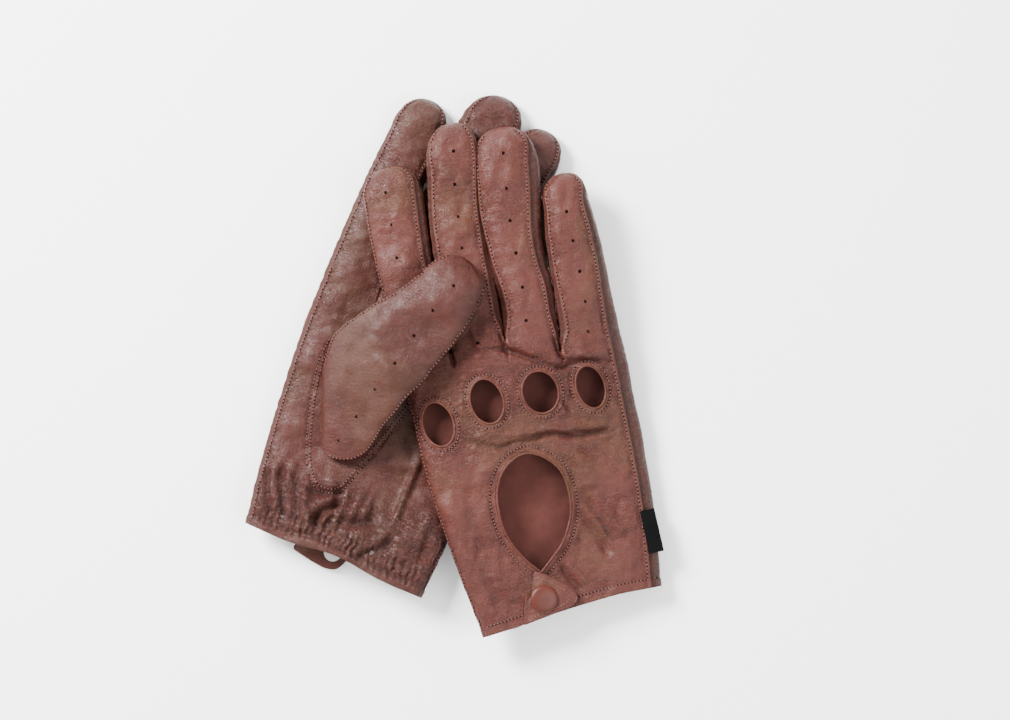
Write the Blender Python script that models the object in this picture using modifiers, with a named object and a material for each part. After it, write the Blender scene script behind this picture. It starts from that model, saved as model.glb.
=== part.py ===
"""A pair of short leather driving gloves lying crossed on a flat surface.

The left glove lies underneath with its palm up, the right glove lies over it with its back up, and
the left thumb folds over the right glove. Each glove is planned flat, in its own frame: r runs
across the hand from the index side (negative) to the little-finger side, u runs from the cuff to the
fingertips, and both gloves share that plan because one is the other turned over. Lengths below are
in millimetres and angles in degrees. The world is in metres, +Z up, the gloves resting on Z = 0.
"""

import math
from dataclasses import dataclass

import bmesh
import bpy
from mathutils import Matrix, Vector

MM = 0.001

# Leather and seams
LEATHER = 1.0  # thickness of every panel
SEAM_GAP_DEG = 2.6  # half of the gap between two panels of one tube, as an angle round its side
PIECE_GAP = 0.35  # clearance between pieces that only touch
FACING_LEATHER = 0.7
FACING_GAP = 0.9  # clearance of a facing behind the back panel
SIDE_SLACK = 1.2  # a facing stands this much further off where the back turns down into its side
JOINT_GAP = 0.8  # clearance where a finger is cut across so that it can move

# Tube sizes
HAND_HEIGHT = 12.0
FINGER_HEIGHT = 12.5
SIDE_ARC = 6.0  # how far in from the outline the rounded side of a tube reaches
TIP_HALF_HEIGHT = 0.35
TIP_HALF_WIDTH = 3.2
TIP_FROM, TIP_SEAM = 0.94, 0.25  # beyond this share of a finger its panels keep this far from its middle
FOURCHETTE_EDGE_DEG = 34.0  # a side strip covers this angle above and below the middle of a finger's side
BASE_SLACK_DEG = 5.0  # the side strips narrow by this at the foot of a finger
FOURCHETTE_END = 0.84  # share of the finger's length where the side strips run out
CROTCH_VALLEY = 0.115  # share of the hand's length that the dip between two fingers runs into it
PALM_WRAP_DEG = 55.0  # the lower panel wraps round the little-finger side up to this angle
BACK_WRAP_DEG = 30.0  # the lower panel wraps round the index side of the left glove up to here
CUFF_LIFT = 6.2  # room under the left cuff for its strap and snap
CUFF_LIFT_FROM, CUFF_LIFT_TO = 8.0, 44.0

# The way the upper glove lies over the lower one
OVER_LOWER_GLOVE = 13.2
LOWER_EDGE_FOOT = Vector((-15.1, -108.8))
LOWER_EDGE_HEAD = Vector((54.1, 82.4))
DRAPE_WIDTH = 85.0
UPPER_EDGE_FOOT = Vector((-21.5, -13.7))
UPPER_EDGE_HEAD = Vector((-33.2, 32.7))
THUMB_CLIMB_FROM, THUMB_CLIMB_TO = -34.0, -5.0  # where the lower thumb climbs on to the upper glove
THUMB_RISE, THUMB_CLIMB_SLACK = 0.6, 0.4

# Rows and columns of faces
HAND_ROWS = 9
COLUMNS = 6  # faces across one finger's panel
THUMB_ROWS = 11
THUMB_MOUTH_ROWS = 2  # rows of the thumb that are open towards the palm, over the hole in it

# Openings in the back
KNUCKLE_HOLES = (
    (-41.5, 103.2, 7.2, 11.0),
    (-16.9, 108.6, 8.0, 11.2),
    (9.3, 107.5, 8.8, 10.4),
    (33.6, 104.2, 6.8, 10.6),
)
KNUCKLE_TILT = 4.0
FACING_MARGIN = 2.6
FACING_END = 3.0  # how far from the index side the facing of the knuckle holes stops
OPENING_TOP = 80.0
OPENING_APEX = Vector((-10.2, 24.0))
OPENING_CENTRE = Vector((-5.5, 58.0))
OPENING_HALF_WIDTH = 17.0
KNUCKLE_CUT = 4.0  # each cutter's reach either side of the face that it pierces
OPENING_CUT_BELOW, OPENING_CUT_ABOVE = 5.2, 6.0
THUMB_CUT = 5.0
OPENING_SHIFT_LEFT = -15.0  # the lower glove's back has slipped this far down past its gathered palm

# Snap fastener
CAP_RADIUS, CAP_HEIGHT = 6.5, 1.6
CAP_SHANK_RADIUS = 1.3
SOCKET_RADIUS, SOCKET_HEIGHT = 4.4, 1.5
STUD_FLANGE, STUD_FLANGE_HEIGHT = 4.2, 0.45
STUD_RADIUS, STUD_HEIGHT = 2.1, 1.25
STUD_BORE, PIN_RADIUS = 1.35, 1.0
POST_FLANGE, POST_FLANGE_HEIGHT = 3.8, 0.6
SNAP_CLEARANCE = 0.35
STRAP_RISE = SOCKET_HEIGHT + STUD_FLANGE_HEIGHT + 2 * PIECE_GAP
STRAP_LEATHER = 1.3

# Trim
ELASTIC_LEFT, ELASTIC_RIGHT = -32.0, 27.0
ELASTIC_FROM, ELASTIC_TO = 5.0, 11.0
ELASTIC_THICKNESS = 0.7
LABEL_LENGTH, LABEL_WIDTH, LABEL_THICKNESS = 21.0, 7.0, 0.7
LABEL_PLACE = Vector((47.0, 29.5))
LABEL_RISE = 0.5

LEATHER_BROWN = (0.235, 0.105, 0.078, 1.0)
INSIDE_BROWN = (0.13, 0.052, 0.042, 1.0)
CAP_BROWN = (0.30, 0.11, 0.06, 1.0)
STEEL = (0.45, 0.43, 0.40, 1.0)
ELASTIC_BLACK = (0.05, 0.04, 0.04, 1.0)
LABEL_BLACK = (0.015, 0.015, 0.017, 1.0)


@dataclass
class Finger:
    """A finger or thumb in plan: its base row, the middle of its length, its tip and half widths."""

    name: str
    base_left: Vector
    base_right: Vector
    middle: Vector
    tip: Vector
    half_middle: float
    half_tip: float
    half_height: float = FINGER_HEIGHT / 2
    base_half_height: float = HAND_HEIGHT / 2
    cut: float = 0.0  # share of the length where the moving part starts, and 1 if no part of it moves


@dataclass
class Glove:
    """One glove: where it lies, which side is up, and the plan of its hand and fingers."""

    name: str
    origin: Vector
    heading: float
    back_up: bool
    fingers: tuple
    left_edge: tuple
    right_edge: tuple
    cuff: tuple
    thumb: Finger
    thumb_hole: tuple
    opening_shift: float
    snap: Vector
    strap: tuple
    strap_hinge: tuple
    slit: tuple

    def world(self, plan):
        """The world x, y of a point of the plan, in millimetres."""
        turn = math.radians(self.heading)
        across = Vector((math.cos(turn), math.sin(turn)))
        along = Vector((-math.sin(turn), math.cos(turn)))
        return self.origin + across * plan[0] + along * plan[1]

    def ground(self, plan):
        """Height of the underside of this glove over a point of the plan."""
        if self.name == "left":
            return CUFF_LIFT * (1 - smooth(plan[1], CUFF_LIFT_FROM, CUFF_LIFT_TO))
        return OVER_LOWER_GLOVE * (1 - smooth(beside_lower_glove(self.world(plan)), 0, DRAPE_WIDTH))

    def place(self, plan, height):
        """A world point in metres over a point of the plan, height above this glove's underside."""
        at = self.world(plan)
        return Vector((at.x, at.y, self.ground(plan) + height)) * MM


def smooth(value, start, end):
    """Smooth step from 0 at start to 1 at end."""
    share = min(1.0, max(0.0, (value - start) / (end - start)))
    return share * share * (3 - 2 * share)


def beside_lower_glove(at):
    """How far a world point lies beyond the lower glove's little-finger edge."""
    along = (LOWER_EDGE_HEAD - LOWER_EDGE_FOOT).normalized()
    away = Vector((along.y, -along.x))
    return (at - LOWER_EDGE_FOOT).dot(away)


def through(points, share):
    """A point at a share of the length of a smooth curve through the given points."""
    count = len(points) - 1
    place = min(max(share, 0.0), 1.0) * count
    i = min(int(place), count - 1)
    t = place - i
    p0, p1 = points[max(i - 1, 0)], points[i]
    p2, p3 = points[i + 1], points[min(i + 2, count)]
    return 0.5 * (
        2 * p1
        + (p2 - p0) * t
        + (2 * p0 - 5 * p1 + 4 * p2 - p3) * t**2
        + (3 * p1 - p0 - 3 * p2 + p3) * t**3
    )


def finger_length(finger):
    """Length of a finger from its base row to its tip."""
    base = (finger.base_left + finger.base_right) / 2
    return (finger.middle - base).length + (finger.tip - finger.middle).length


def finger_row(finger, s):
    """Centre, direction across, half width and half height of the finger's section at share s."""
    base = (finger.base_left + finger.base_right) / 2
    control = 2 * finger.middle - (base + finger.tip) / 2
    centre = (1 - s) ** 2 * base + 2 * s * (1 - s) * control + s * s * finger.tip
    ahead = (2 * (1 - s) * (control - base) + 2 * s * (finger.tip - control)).normalized()
    square = Vector((ahead.y, -ahead.x))
    row = (finger.base_right - finger.base_left).normalized()
    turn = smooth(s, 0.0, 0.3)
    across = (row * (1 - turn) + square * turn).normalized()
    half_base = (finger.base_right - finger.base_left).length / 2
    bend = 4 * finger.half_middle - half_base - finger.half_tip
    half = (1 - s) ** 2 * half_base + 2 * s * (1 - s) * bend / 2 + s * s * finger.half_tip
    round_from = 1 - 1.05 * finger.half_tip / finger_length(finger)
    past = max(0.0, (s - round_from) / (1 - round_from))
    cap = math.sqrt(max(0.0, 1 - past**2))
    half = TIP_HALF_WIDTH + (half - TIP_HALF_WIDTH) * cap
    body = finger.base_half_height + (finger.half_height - finger.base_half_height) * smooth(s, 0, 0.25)
    height = TIP_HALF_HEIGHT + (body - TIP_HALF_HEIGHT) * math.sqrt(max(0.0, 1 - past**2.6))
    return centre, across, half, height


def section(half, height, arc, edges, f, crown=0.0):
    """Offset across and above the middle of a tube, at share f of a panel from edge to edge.

    The edges are the angles round the left and right sides where the panel starts and ends. An
    upper panel has a positive height and a lower one a negative height.
    """
    arc = min(arc, 0.92 * half)
    if f < 1 / 3:
        angle = math.radians(edges[0] + (90 - edges[0]) * 3 * f)
        return -(half - arc) - arc * math.cos(angle), height * math.sin(angle)
    if f > 2 / 3:
        angle = math.radians(edges[1] + (90 - edges[1]) * 3 * (1 - f))
        return half - arc + arc * math.cos(angle), height * math.sin(angle)
    across = 6 * f - 3
    return (half - arc) * across, height + crown * (1 - across**2)


def outer_angle(glove, side, upper):
    """Angle of the seam on an outer side, seen from the upper or the lower panel."""
    if side == "right":
        wrap = PALM_WRAP_DEG if glove.back_up else 12.0
    else:
        wrap = 0.0 if glove.back_up else BACK_WRAP_DEG
    return wrap + SEAM_GAP_DEG if upper else -(wrap - SEAM_GAP_DEG)


def strip_reach(s):
    """The angle that a side strip covers above the middle of a finger's side, at share s."""
    return FOURCHETTE_EDGE_DEG * (1 - smooth(s, FOURCHETTE_END - 0.14, FOURCHETTE_END + 0.06))


def finger_edges(glove, index, s, upper):
    """Angles of a finger panel's two edges: the seam on an outer side, the side strip elsewhere."""
    inner = strip_reach(s) + SEAM_GAP_DEG
    fade = 1 - smooth(s, 0.72, 0.95)
    left, right = inner, inner
    if index == 0:
        left = outer_angle(glove, "left", upper) * fade + SEAM_GAP_DEG * (1 - fade)
    if index == len(glove.fingers) - 1:
        right = outer_angle(glove, "right", upper) * fade + SEAM_GAP_DEG * (1 - fade)
    return left, right


def finger_point(glove, index, s, f, upper, inset):
    """A point of a finger's upper or lower panel in the plan, and its height."""
    finger = glove.fingers[index]
    centre, across, half, height = finger_row(finger, s)
    edges = finger_edges(glove, index, s, upper)
    x, z = section(half - inset, layer(height, inset), SIDE_ARC - inset, edges, f)
    if s > TIP_FROM:
        z = max(z, TIP_SEAM)
    # At the base row the inner edges meet the neighbouring finger's in the crotch.
    hollow = SIDE_ARC * (1 - math.cos(math.radians(FOURCHETTE_EDGE_DEG)))
    close = (1 - smooth(s, 0.0, 0.07)) * (hollow + inset)
    if index > 0:
        x -= close * max(0.0, 1 - 3 * f)
    if index < len(glove.fingers) - 1:
        x += close * max(0.0, 3 * f - 2)
    pull = inset * smooth(s, 0.8, 1.0)
    plan = centre + across * x - (finger.tip - finger.middle).normalized() * pull
    return plan, height_of(z, finger_row(finger, s)[3], upper)


def layer(height, inset):
    """Half height of the layer this far inside a tube. The layers meet where a fingertip closes."""
    return max(height - inset, TIP_HALF_HEIGHT)


def height_of(z, half_height, upper):
    """Height above the underside of a point z above (or, on a lower panel, below) the middle."""
    return half_height + z if upper else half_height - z


def hand_point(glove, t, column, columns, upper, inset):
    """A point of the hand's upper or lower panel: t from the cuff to the base row of the fingers."""
    count = len(glove.fingers)
    index = min(column // columns, count - 1)
    f = (column - index * columns) / columns
    across = column / (count * columns)
    edge_t = through(glove.left_edge, t), through(glove.right_edge, t)
    foot = glove.left_edge[0], glove.right_edge[0]
    head = glove.left_edge[-1], glove.right_edge[-1]
    top, top_height = finger_point(glove, index, 0.0, f, upper, inset)
    if 0 < column < count * columns and column % columns == 0:
        top = glove.fingers[index].base_left.copy()
    half = HAND_HEIGHT / 2 - inset
    arc = SIDE_ARC - inset
    angle, side = 90.0, 0
    if across < 1 / (3 * count):
        edge = outer_angle(glove, "left", upper)
        angle, side = edge + (90 - edge) * across * 3 * count, -1
    elif across > 1 - 1 / (3 * count):
        edge = outer_angle(glove, "right", upper)
        angle, side = edge + (90 - edge) * (1 - across) * 3 * count, 1
    low = through(glove.cuff, across)
    if side:
        turn = math.radians(angle)
        corner = glove.cuff[0] if side < 0 else glove.cuff[-1]
        low = Vector((corner.x - side * (inset + arc * (1 - math.cos(turn))), low.y))
    plan = low.lerp(top, t)
    left_bow = edge_t[0] - foot[0].lerp(head[0], t)
    right_bow = edge_t[1] - foot[1].lerp(head[1], t)
    plan += left_bow * (1 - across) + right_bow * across
    flat = half * math.sin(math.radians(angle))
    valley = smooth(t, 1 - CROTCH_VALLEY, 1.0)
    shaped = (top_height - HAND_HEIGHT / 2) if upper else (HAND_HEIGHT / 2 - top_height)
    z = flat * (1 - valley) + shaped * valley
    return plan, height_of(z, HAND_HEIGHT / 2, upper)


def shell(name, outer, inner, quads, material):
    """A closed leather shell from two matching sets of points and the faces over them."""
    uses = {}
    for quad in quads:
        for a, b in zip(quad, quad[1:] + quad[:1], strict=True):
            uses.setdefault(frozenset((a, b)), []).append((a, b))
    count = len(outer)
    faces = [list(quad) for quad in quads]
    faces += [[v + count for v in reversed(quad)] for quad in quads]
    for found in uses.values():
        if len(found) == 1:
            a, b = found[0]
            faces.append([b, a, a + count, b + count])
    mesh = bpy.data.meshes.new(name)
    mesh.from_pydata(outer + inner, [], faces)
    made = bmesh.new()
    made.from_mesh(mesh)
    if made.calc_volume(signed=True) < 0:
        bmesh.ops.reverse_faces(made, faces=made.faces)
    made.to_mesh(mesh)
    made.free()
    return add_object(name, mesh, material)


def add_object(name, mesh, material, collection="driving_gloves"):
    """Links a new object with this mesh and material, shaded smooth with sharp edges kept."""
    mesh.shade_smooth()
    mesh.set_sharp_from_angle(angle=math.radians(40))
    mesh.materials.append(material)
    obj = bpy.data.objects.new(name, mesh)
    bpy.data.collections[collection].objects.link(obj)
    return obj


class PointGrid:
    """Collects the outer and inner points of a panel and the faces between them."""

    def __init__(self):
        """Starts with no points."""
        self.outer, self.inner, self.quads, self.known = [], [], [], {}

    def add(self, key, outer, inner):
        """Keeps one point under a key, and gives its number."""
        if key not in self.known:
            self.known[key] = len(self.outer)
            self.outer.append(outer)
            self.inner.append(inner)
        return self.known[key]

    def patch(self, rows):
        """Adds the faces between rows of point numbers."""
        for low, high in zip(rows, rows[1:], strict=False):
            for i in range(len(low) - 1):
                self.quads.append([low[i], low[i + 1], high[i + 1], high[i]])


def finger_shares(first, last, steps):
    """Shares of the length of a finger's rows, closer together where the tip turns in."""
    shares = []
    for i in range(steps + 1):
        k = i / steps
        shares.append(first + (last - first) * (1 - (1 - k) ** 1.6))
    return shares


def add_finger_rows(grid, glove, index, shares, upper, first_row=None):
    """Adds rows of a finger's panel to a grid, after first_row if that is given."""
    rows = [first_row] if first_row else []
    for s in shares:
        row = []
        for j in range(COLUMNS + 1):
            outer = finger_point(glove, index, s, j / COLUMNS, upper, 0.0)
            inner = finger_point(glove, index, s, j / COLUMNS, upper, LEATHER)
            row.append(grid.add((index, s, j), glove.place(*outer), glove.place(*inner)))
        rows.append(row)
    grid.patch(rows)


def hand_panel(glove, upper, name, material):
    """The hand's back or palm panel, with the near part of each finger that is cut further up."""
    grid = PointGrid()
    total = len(glove.fingers) * COLUMNS
    rows = []
    for i in range(HAND_ROWS + 1):
        t = i / HAND_ROWS
        row = []
        for j in range(total + 1):
            outer = hand_point(glove, t, j, COLUMNS, upper, 0.0)
            inner = hand_point(glove, t, j, COLUMNS, upper, LEATHER)
            row.append(grid.add(("hand", i, j), glove.place(*outer), glove.place(*inner)))
        rows.append(row)
    grid.patch(rows)
    for index, finger in enumerate(glove.fingers):
        base_row = rows[-1][index * COLUMNS : (index + 1) * COLUMNS + 1]
        if finger.cut == 1:
            shares = [0.06, *finger_shares(0.16, 1.0, 8)]
            add_finger_rows(grid, glove, index, shares, upper, base_row)
        elif finger.cut:
            end = finger.cut - JOINT_GAP / finger_length(finger)
            shares = [end * k / 4 for k in range(1, 5)]
            add_finger_rows(grid, glove, index, shares, upper, base_row)
    return shell(name, grid.outer, grid.inner, grid.quads, material)


def finger_panel(glove, index, upper, name, material):
    """The part of a finger's back or palm strip that moves, up to the fingertip."""
    grid = PointGrid()
    finger = glove.fingers[index]
    start = finger.cut or JOINT_GAP / finger_length(finger)
    add_finger_rows(grid, glove, index, finger_shares(start, 1.0, 7), upper)
    return shell(name, grid.outer, grid.inner, grid.quads, material)


def side_point(glove, index, side, s, g, inset):
    """A point of the strip in a finger's side: g from its lower to its upper edge."""
    finger = glove.fingers[index]
    centre, across, half, height = finger_row(finger, s)
    reach = strip_reach(s) - SEAM_GAP_DEG
    reach -= BASE_SLACK_DEG * (1 - smooth(s, 0.06, 0.2))
    angle = math.radians(-reach + 2 * reach * g)
    arc = min(SIDE_ARC, 0.92 * half) - inset
    x = half - inset - arc + arc * math.cos(angle)
    x -= PIECE_GAP / 2
    return centre + across * (x * side), height + (height - inset) * math.sin(angle)


def fourchette(glove, index, side, first, last, name, material):
    """A side strip along one side of a finger. Side is -1 on its left and 1 on its right."""
    grid = PointGrid()
    rows = []
    for i in range(6):
        s = first + (last - first) * i / 5
        row = []
        for j in range(3):
            outer = side_point(glove, index, side, s, j / 2, 0.0)
            inner = side_point(glove, index, side, s, j / 2, LEATHER)
            row.append(grid.add((i, j), glove.place(*outer), glove.place(*inner)))
        rows.append(row)
    grid.patch(rows)
    return shell(name, grid.outer, grid.inner, grid.quads, material)


def crotch_fourchette(glove, index, name, material):
    """The folded strip between two fingers: down one finger's side, round the crotch, up the next."""
    grid = PointGrid()
    crotch = glove.fingers[index].base_right
    rows = []
    steps = 5
    for i in range(-steps, steps + 1):
        owner, side = (index, 1) if i < 0 else (index + 1, -1)
        finger = glove.fingers[owner]
        end = min(finger.cut - 1.2 * JOINT_GAP / finger_length(finger), FOURCHETTE_END - 0.1)
        s = end * abs(i) / steps
        row = []
        for j in range(3):
            if i:
                outer = side_point(glove, owner, side, s, j / 2, 0.0)
                inner = side_point(glove, owner, side, s, j / 2, LEATHER)
            else:
                left = side_point(glove, index, 1, 0.0, j / 2, 0.0)
                inside = side_point(glove, index, 1, 0.0, j / 2, LEATHER)
                outer = crotch.copy(), left[1]
                inner = crotch - Vector((0, 1.3 * LEATHER)), inside[1]
            row.append(grid.add((i, j), glove.place(*outer), glove.place(*inner)))
        rows.append(row)
    grid.patch(rows)
    return shell(name, grid.outer, grid.inner, grid.quads, material)


def thumb_ground(glove, plan):
    """Height of the underside of the thumb above the glove's own underside."""
    if glove.back_up:
        return -glove.ground(plan) + PIECE_GAP
    over = beside_upper_edge(glove.world(plan))
    climb = 2 * OVER_LOWER_GLOVE - HAND_HEIGHT + THUMB_CLIMB_SLACK
    return HAND_HEIGHT + THUMB_RISE + climb * smooth(over, THUMB_CLIMB_FROM, THUMB_CLIMB_TO)


def beside_upper_edge(at):
    """How far a world point lies past the upper glove's index edge, towards that glove."""
    along = (UPPER_EDGE_HEAD - UPPER_EDGE_FOOT).normalized()
    return (at - UPPER_EDGE_FOOT).dot(Vector((along.y, -along.x)))


def thumb_panel(glove, upper, name, material):
    """The thumb's visible piece or the piece against the palm. It starts past the thumb's mouth."""
    grid = PointGrid()
    thumb = glove.thumb
    near = upper != glove.back_up  # the outer piece is above on the lower glove, below on the upper one
    shares = finger_shares(0.0, 1.0, THUMB_ROWS)
    rows = []
    for i, s in enumerate(shares if near else shares[THUMB_MOUTH_ROWS:]):
        row = []
        for j in range(COLUMNS + 1):
            pair = []
            for inset in (0.0, LEATHER):
                centre, across, half, height = finger_row(thumb, s)
                edges = SEAM_GAP_DEG, SEAM_GAP_DEG
                arc = SIDE_ARC + 1 - inset
                x, z = section(half - inset, layer(height, inset), arc, edges, j / COLUMNS)
                back = (thumb.tip - thumb.middle).normalized() * inset * smooth(s, 0.8, 1)
                plan = centre + across * x - back
                lift = thumb_ground(glove, plan)
                pair.append(glove.place(plan, lift + height_of(z, height, upper)))
            row.append(grid.add((i, j), *pair))
        rows.append(row)
    grid.patch(rows)
    return shell(name, grid.outer, grid.inner, grid.quads, material)


def finished(name, made, material):
    """The object of a piece that was built as a bmesh."""
    mesh = bpy.data.meshes.new(name)
    made.to_mesh(mesh)
    made.free()
    return add_object(name, mesh, material)


def add_cutter(name, made):
    """A helper for a Boolean, kept out of the render."""
    mesh = bpy.data.meshes.new(name)
    made.to_mesh(mesh)
    made.free()
    obj = bpy.data.objects.new(name, mesh)
    bpy.data.collections["cutters"].objects.link(obj)
    obj.hide_render = True
    obj.display_type = "WIRE"
    return obj


def prism(name, glove, outline, low, high, material=None):
    """A straight-sided solid over an outline of the plan, between two world heights.

    Without a material it is a helper for a Boolean.
    """
    made = bmesh.new()
    ring = [made.verts.new((*(glove.world(p) * MM), low * MM)) for p in outline]
    base = made.faces.new(ring)
    lifted = bmesh.ops.extrude_face_region(made, geom=[base])
    moved = [v for v in lifted["geom"] if isinstance(v, bmesh.types.BMVert)]
    bmesh.ops.translate(made, verts=moved, vec=(0, 0, (high - low) * MM))
    bmesh.ops.recalc_face_normals(made, faces=made.faces)
    if material:
        return finished(name, made, material)
    return add_cutter(name, made)


def ellipse(centre, half_across, half_along, tilt, count=20):
    """Points of an ellipse in the plan."""
    turn = math.radians(tilt)
    across = Vector((math.cos(turn), math.sin(turn))) * half_across
    along = Vector((-math.sin(turn), math.cos(turn))) * half_along
    angles = [2 * math.pi * i / count for i in range(count)]
    return [centre + across * math.cos(a) + along * math.sin(a) for a in angles]


def opening_outline(glove, grow=0.0, count=26):
    """The drop-shaped opening in the back: round at the top and drawn to a point at the strap."""
    shift = Vector((0, glove.opening_shift))
    tall = OPENING_TOP - OPENING_CENTRE.y + grow
    points = []
    for i in range(count):
        a = 2 * math.pi * i / count
        up = math.sin(a)
        x = (OPENING_HALF_WIDTH + grow) * math.cos(a)
        centre = OPENING_CENTRE
        if up >= 0:
            points.append(centre + shift + Vector((x, tall * up)))
            continue
        deep = OPENING_CENTRE.y - OPENING_APEX.y + grow
        pinch = 1 - 0.42 * (-up) ** 3
        lean = (OPENING_APEX.x - OPENING_CENTRE.x) * up * up
        points.append(centre + shift + Vector((x * pinch + lean, deep * up)))
    return points


def cut(obj, cutter):
    """Cuts a cutter out of an object with a Boolean modifier."""
    modifier = obj.modifiers.new("cut_" + cutter.name, "BOOLEAN")
    modifier.operation = "DIFFERENCE"
    modifier.object = cutter


def drum(name, glove, plan, radius, low, high, material=None, segments=24):
    """A plain disc square to the back panel, low and high measured outwards from its outer face.

    Without a material it is a helper for a Boolean.
    """
    low, high = min(low, high), max(low, high)
    made = bmesh.new()
    wide, deep = radius * MM, (high - low) * MM
    bmesh.ops.create_cone(made, cap_ends=True, segments=segments, radius1=wide, radius2=wide, depth=deep)
    at = glove.world(plan)
    step = 2.0
    face = back_outer_height(glove, plan)
    slope_r = (back_outer_height(glove, plan + Vector((step, 0))) - face) / step
    slope_u = (back_outer_height(glove, plan + Vector((0, step))) - face) / step
    turn = math.radians(glove.heading)
    out = Vector(
        (
            -slope_r * math.cos(turn) + slope_u * math.sin(turn),
            -slope_r * math.sin(turn) - slope_u * math.cos(turn),
            1.0,
        )
    ).normalized()
    if not glove.back_up:
        out = -out
    upright = Matrix.Rotation(math.pi, 3, "X")
    if out.z > 0:
        upright = Vector((0, 0, 1)).rotation_difference(out).to_matrix()
    centre = Vector((at.x, at.y, face)) * MM + out * ((low + high) / 2 * MM)
    placed = Matrix.Translation(centre) @ upright.to_4x4()
    bmesh.ops.transform(made, matrix=placed, verts=made.verts)
    if material:
        return finished(name, made, material)
    return add_cutter(name, made)


def joined(obj, other):
    """Unites another object with this one, and keeps it as a cutter only."""
    modifier = obj.modifiers.new("join_" + other.name, "BOOLEAN")
    modifier.operation = "UNION"
    modifier.object = other


def back_outer_height(glove, plan):
    """World height of the outer face of the back panel over a flat part of the plan."""
    return glove.ground(plan) + (HAND_HEIGHT if glove.back_up else 0.0)


def side_drop(glove, plan, depth):
    """How far a layer at this depth inside the back bends away from flat, near the index side."""
    share = (plan.y - glove.left_edge[0].y) / (glove.left_edge[-1].y - glove.left_edge[0].y)
    from_side = plan.x - through(glove.left_edge, share).x
    past = min(1.0, max(0.0, SIDE_ARC - from_side) / (SIDE_ARC - depth))
    return (HAND_HEIGHT / 2 - depth) * (1 - math.sqrt(1 - past**2)) + SIDE_SLACK * past**2


def snap(glove, materials):
    """The four parts of the snap. The cap and socket ride on the strap, the stud and post on the flap."""
    side, at = glove.name, glove.snap
    strap_high = STRAP_RISE + STRAP_LEATHER
    foot = strap_high + PIECE_GAP
    cap = drum(f"{side}_snap_cap", glove, at, CAP_RADIUS, foot, foot + CAP_HEIGHT, materials["cap"], 28)
    rim = cap.modifiers.new("rolled_rim", "BEVEL")
    rim.width = 0.6 * MM
    rim.segments = 2
    rim.limit_method = "ANGLE"
    shank_low = STRAP_RISE + SNAP_CLEARANCE
    joined(cap, drum(f"{side}_cap_shank", glove, at, CAP_SHANK_RADIUS, shank_low, foot + 0.5, segments=12))

    top = STRAP_RISE - PIECE_GAP
    low = top - SOCKET_HEIGHT
    socket = drum(f"{side}_snap_socket", glove, at, SOCKET_RADIUS, low, top, materials["metal"])
    bore = STUD_RADIUS + SNAP_CLEARANCE
    cut(socket, drum(f"{side}_socket_bore", glove, at, bore, low - 1, top + 1))

    foot = PIECE_GAP / 2
    flange = foot + STUD_FLANGE_HEIGHT * 0.6
    top = flange + STUD_HEIGHT
    stud = drum(f"{side}_snap_stud", glove, at, STUD_FLANGE, foot, flange, materials["metal"])
    joined(stud, drum(f"{side}_stud_knob", glove, at, STUD_RADIUS, foot + 0.1, top))
    cut(stud, drum(f"{side}_stud_bore", glove, at, STUD_BORE, foot - 1, top + 1, segments=16))

    inside = -LEATHER - PIECE_GAP
    low = inside - POST_FLANGE_HEIGHT
    post = drum(f"{side}_snap_post", glove, at, POST_FLANGE, low, inside, materials["metal"])
    joined(post, drum(f"{side}_post_pin", glove, at, PIN_RADIUS, inside - 0.2, flange + 0.4, segments=12))


def sheet_over(name, glove, outline, rise, thickness, material, inside=False):
    """A flat leather piece that follows the back panel: outside it by rise, or under it if inside."""
    made = bmesh.new()
    ring = [made.verts.new((p.x, p.y, 0)) for p in outline]
    made.faces.new(ring)
    bmesh.ops.triangulate(made, faces=made.faces)
    way = 1 if glove.back_up else -1
    lifted = bmesh.ops.extrude_face_region(made, geom=made.faces[:])
    upper = {v for v in lifted["geom"] if isinstance(v, bmesh.types.BMVert)}
    for vert in made.verts:
        plan = Vector((vert.co.x, vert.co.y))
        depth = rise + thickness if vert in upper else rise
        height = depth if not inside else -depth - side_drop(glove, plan, depth)
        at = glove.world(plan)
        vert.co = Vector((at.x, at.y, back_outer_height(glove, plan) + way * height)) * MM
    bmesh.ops.recalc_face_normals(made, faces=made.faces)
    return finished(name, made, material)


def strap(glove, material):
    """The closing strap, from its fold line over the flap to its rounded end, pierced for the snap."""
    name = f"{glove.name}_closing_strap"
    made = sheet_over(name, glove, glove.strap, STRAP_RISE, STRAP_LEATHER, material)
    reach = CAP_SHANK_RADIUS + SNAP_CLEARANCE
    cut(made, drum(f"{glove.name}_strap_hole", glove, glove.snap, reach, 0.5, 9.0, segments=16))
    return made


def knuckle_facing(glove, material):
    """The reinforcing strip inside the back, behind the knuckle holes and pierced like them."""
    top, low = [], []
    for r, u, a, b in KNUCKLE_HOLES:
        reach = a + FACING_MARGIN - 1.4
        for step in (-1.0, -0.35, 0.35, 1.0):
            lift = (b + FACING_MARGIN) * math.sqrt(1 - 0.6 * step * step)
            across = max(r + reach * step, glove.left_edge[3].x + FACING_END)
            top.append(Vector((across, u + lift)))
            low.append(Vector((across, u - lift)))
    outline = low + top[::-1]
    name, rise = f"{glove.name}_knuckle_facing", LEATHER + FACING_GAP
    return sheet_over(name, glove, outline, rise, FACING_LEATHER, material, inside=True)


def opening_facing(glove, material):
    """The narrow leather facing inside the edge of the opening in the back."""
    outer = opening_outline(glove, FACING_MARGIN)
    name, rise = f"{glove.name}_opening_facing", LEATHER + FACING_GAP
    return sheet_over(name, glove, outer, rise, FACING_LEATHER, material, inside=True)


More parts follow.
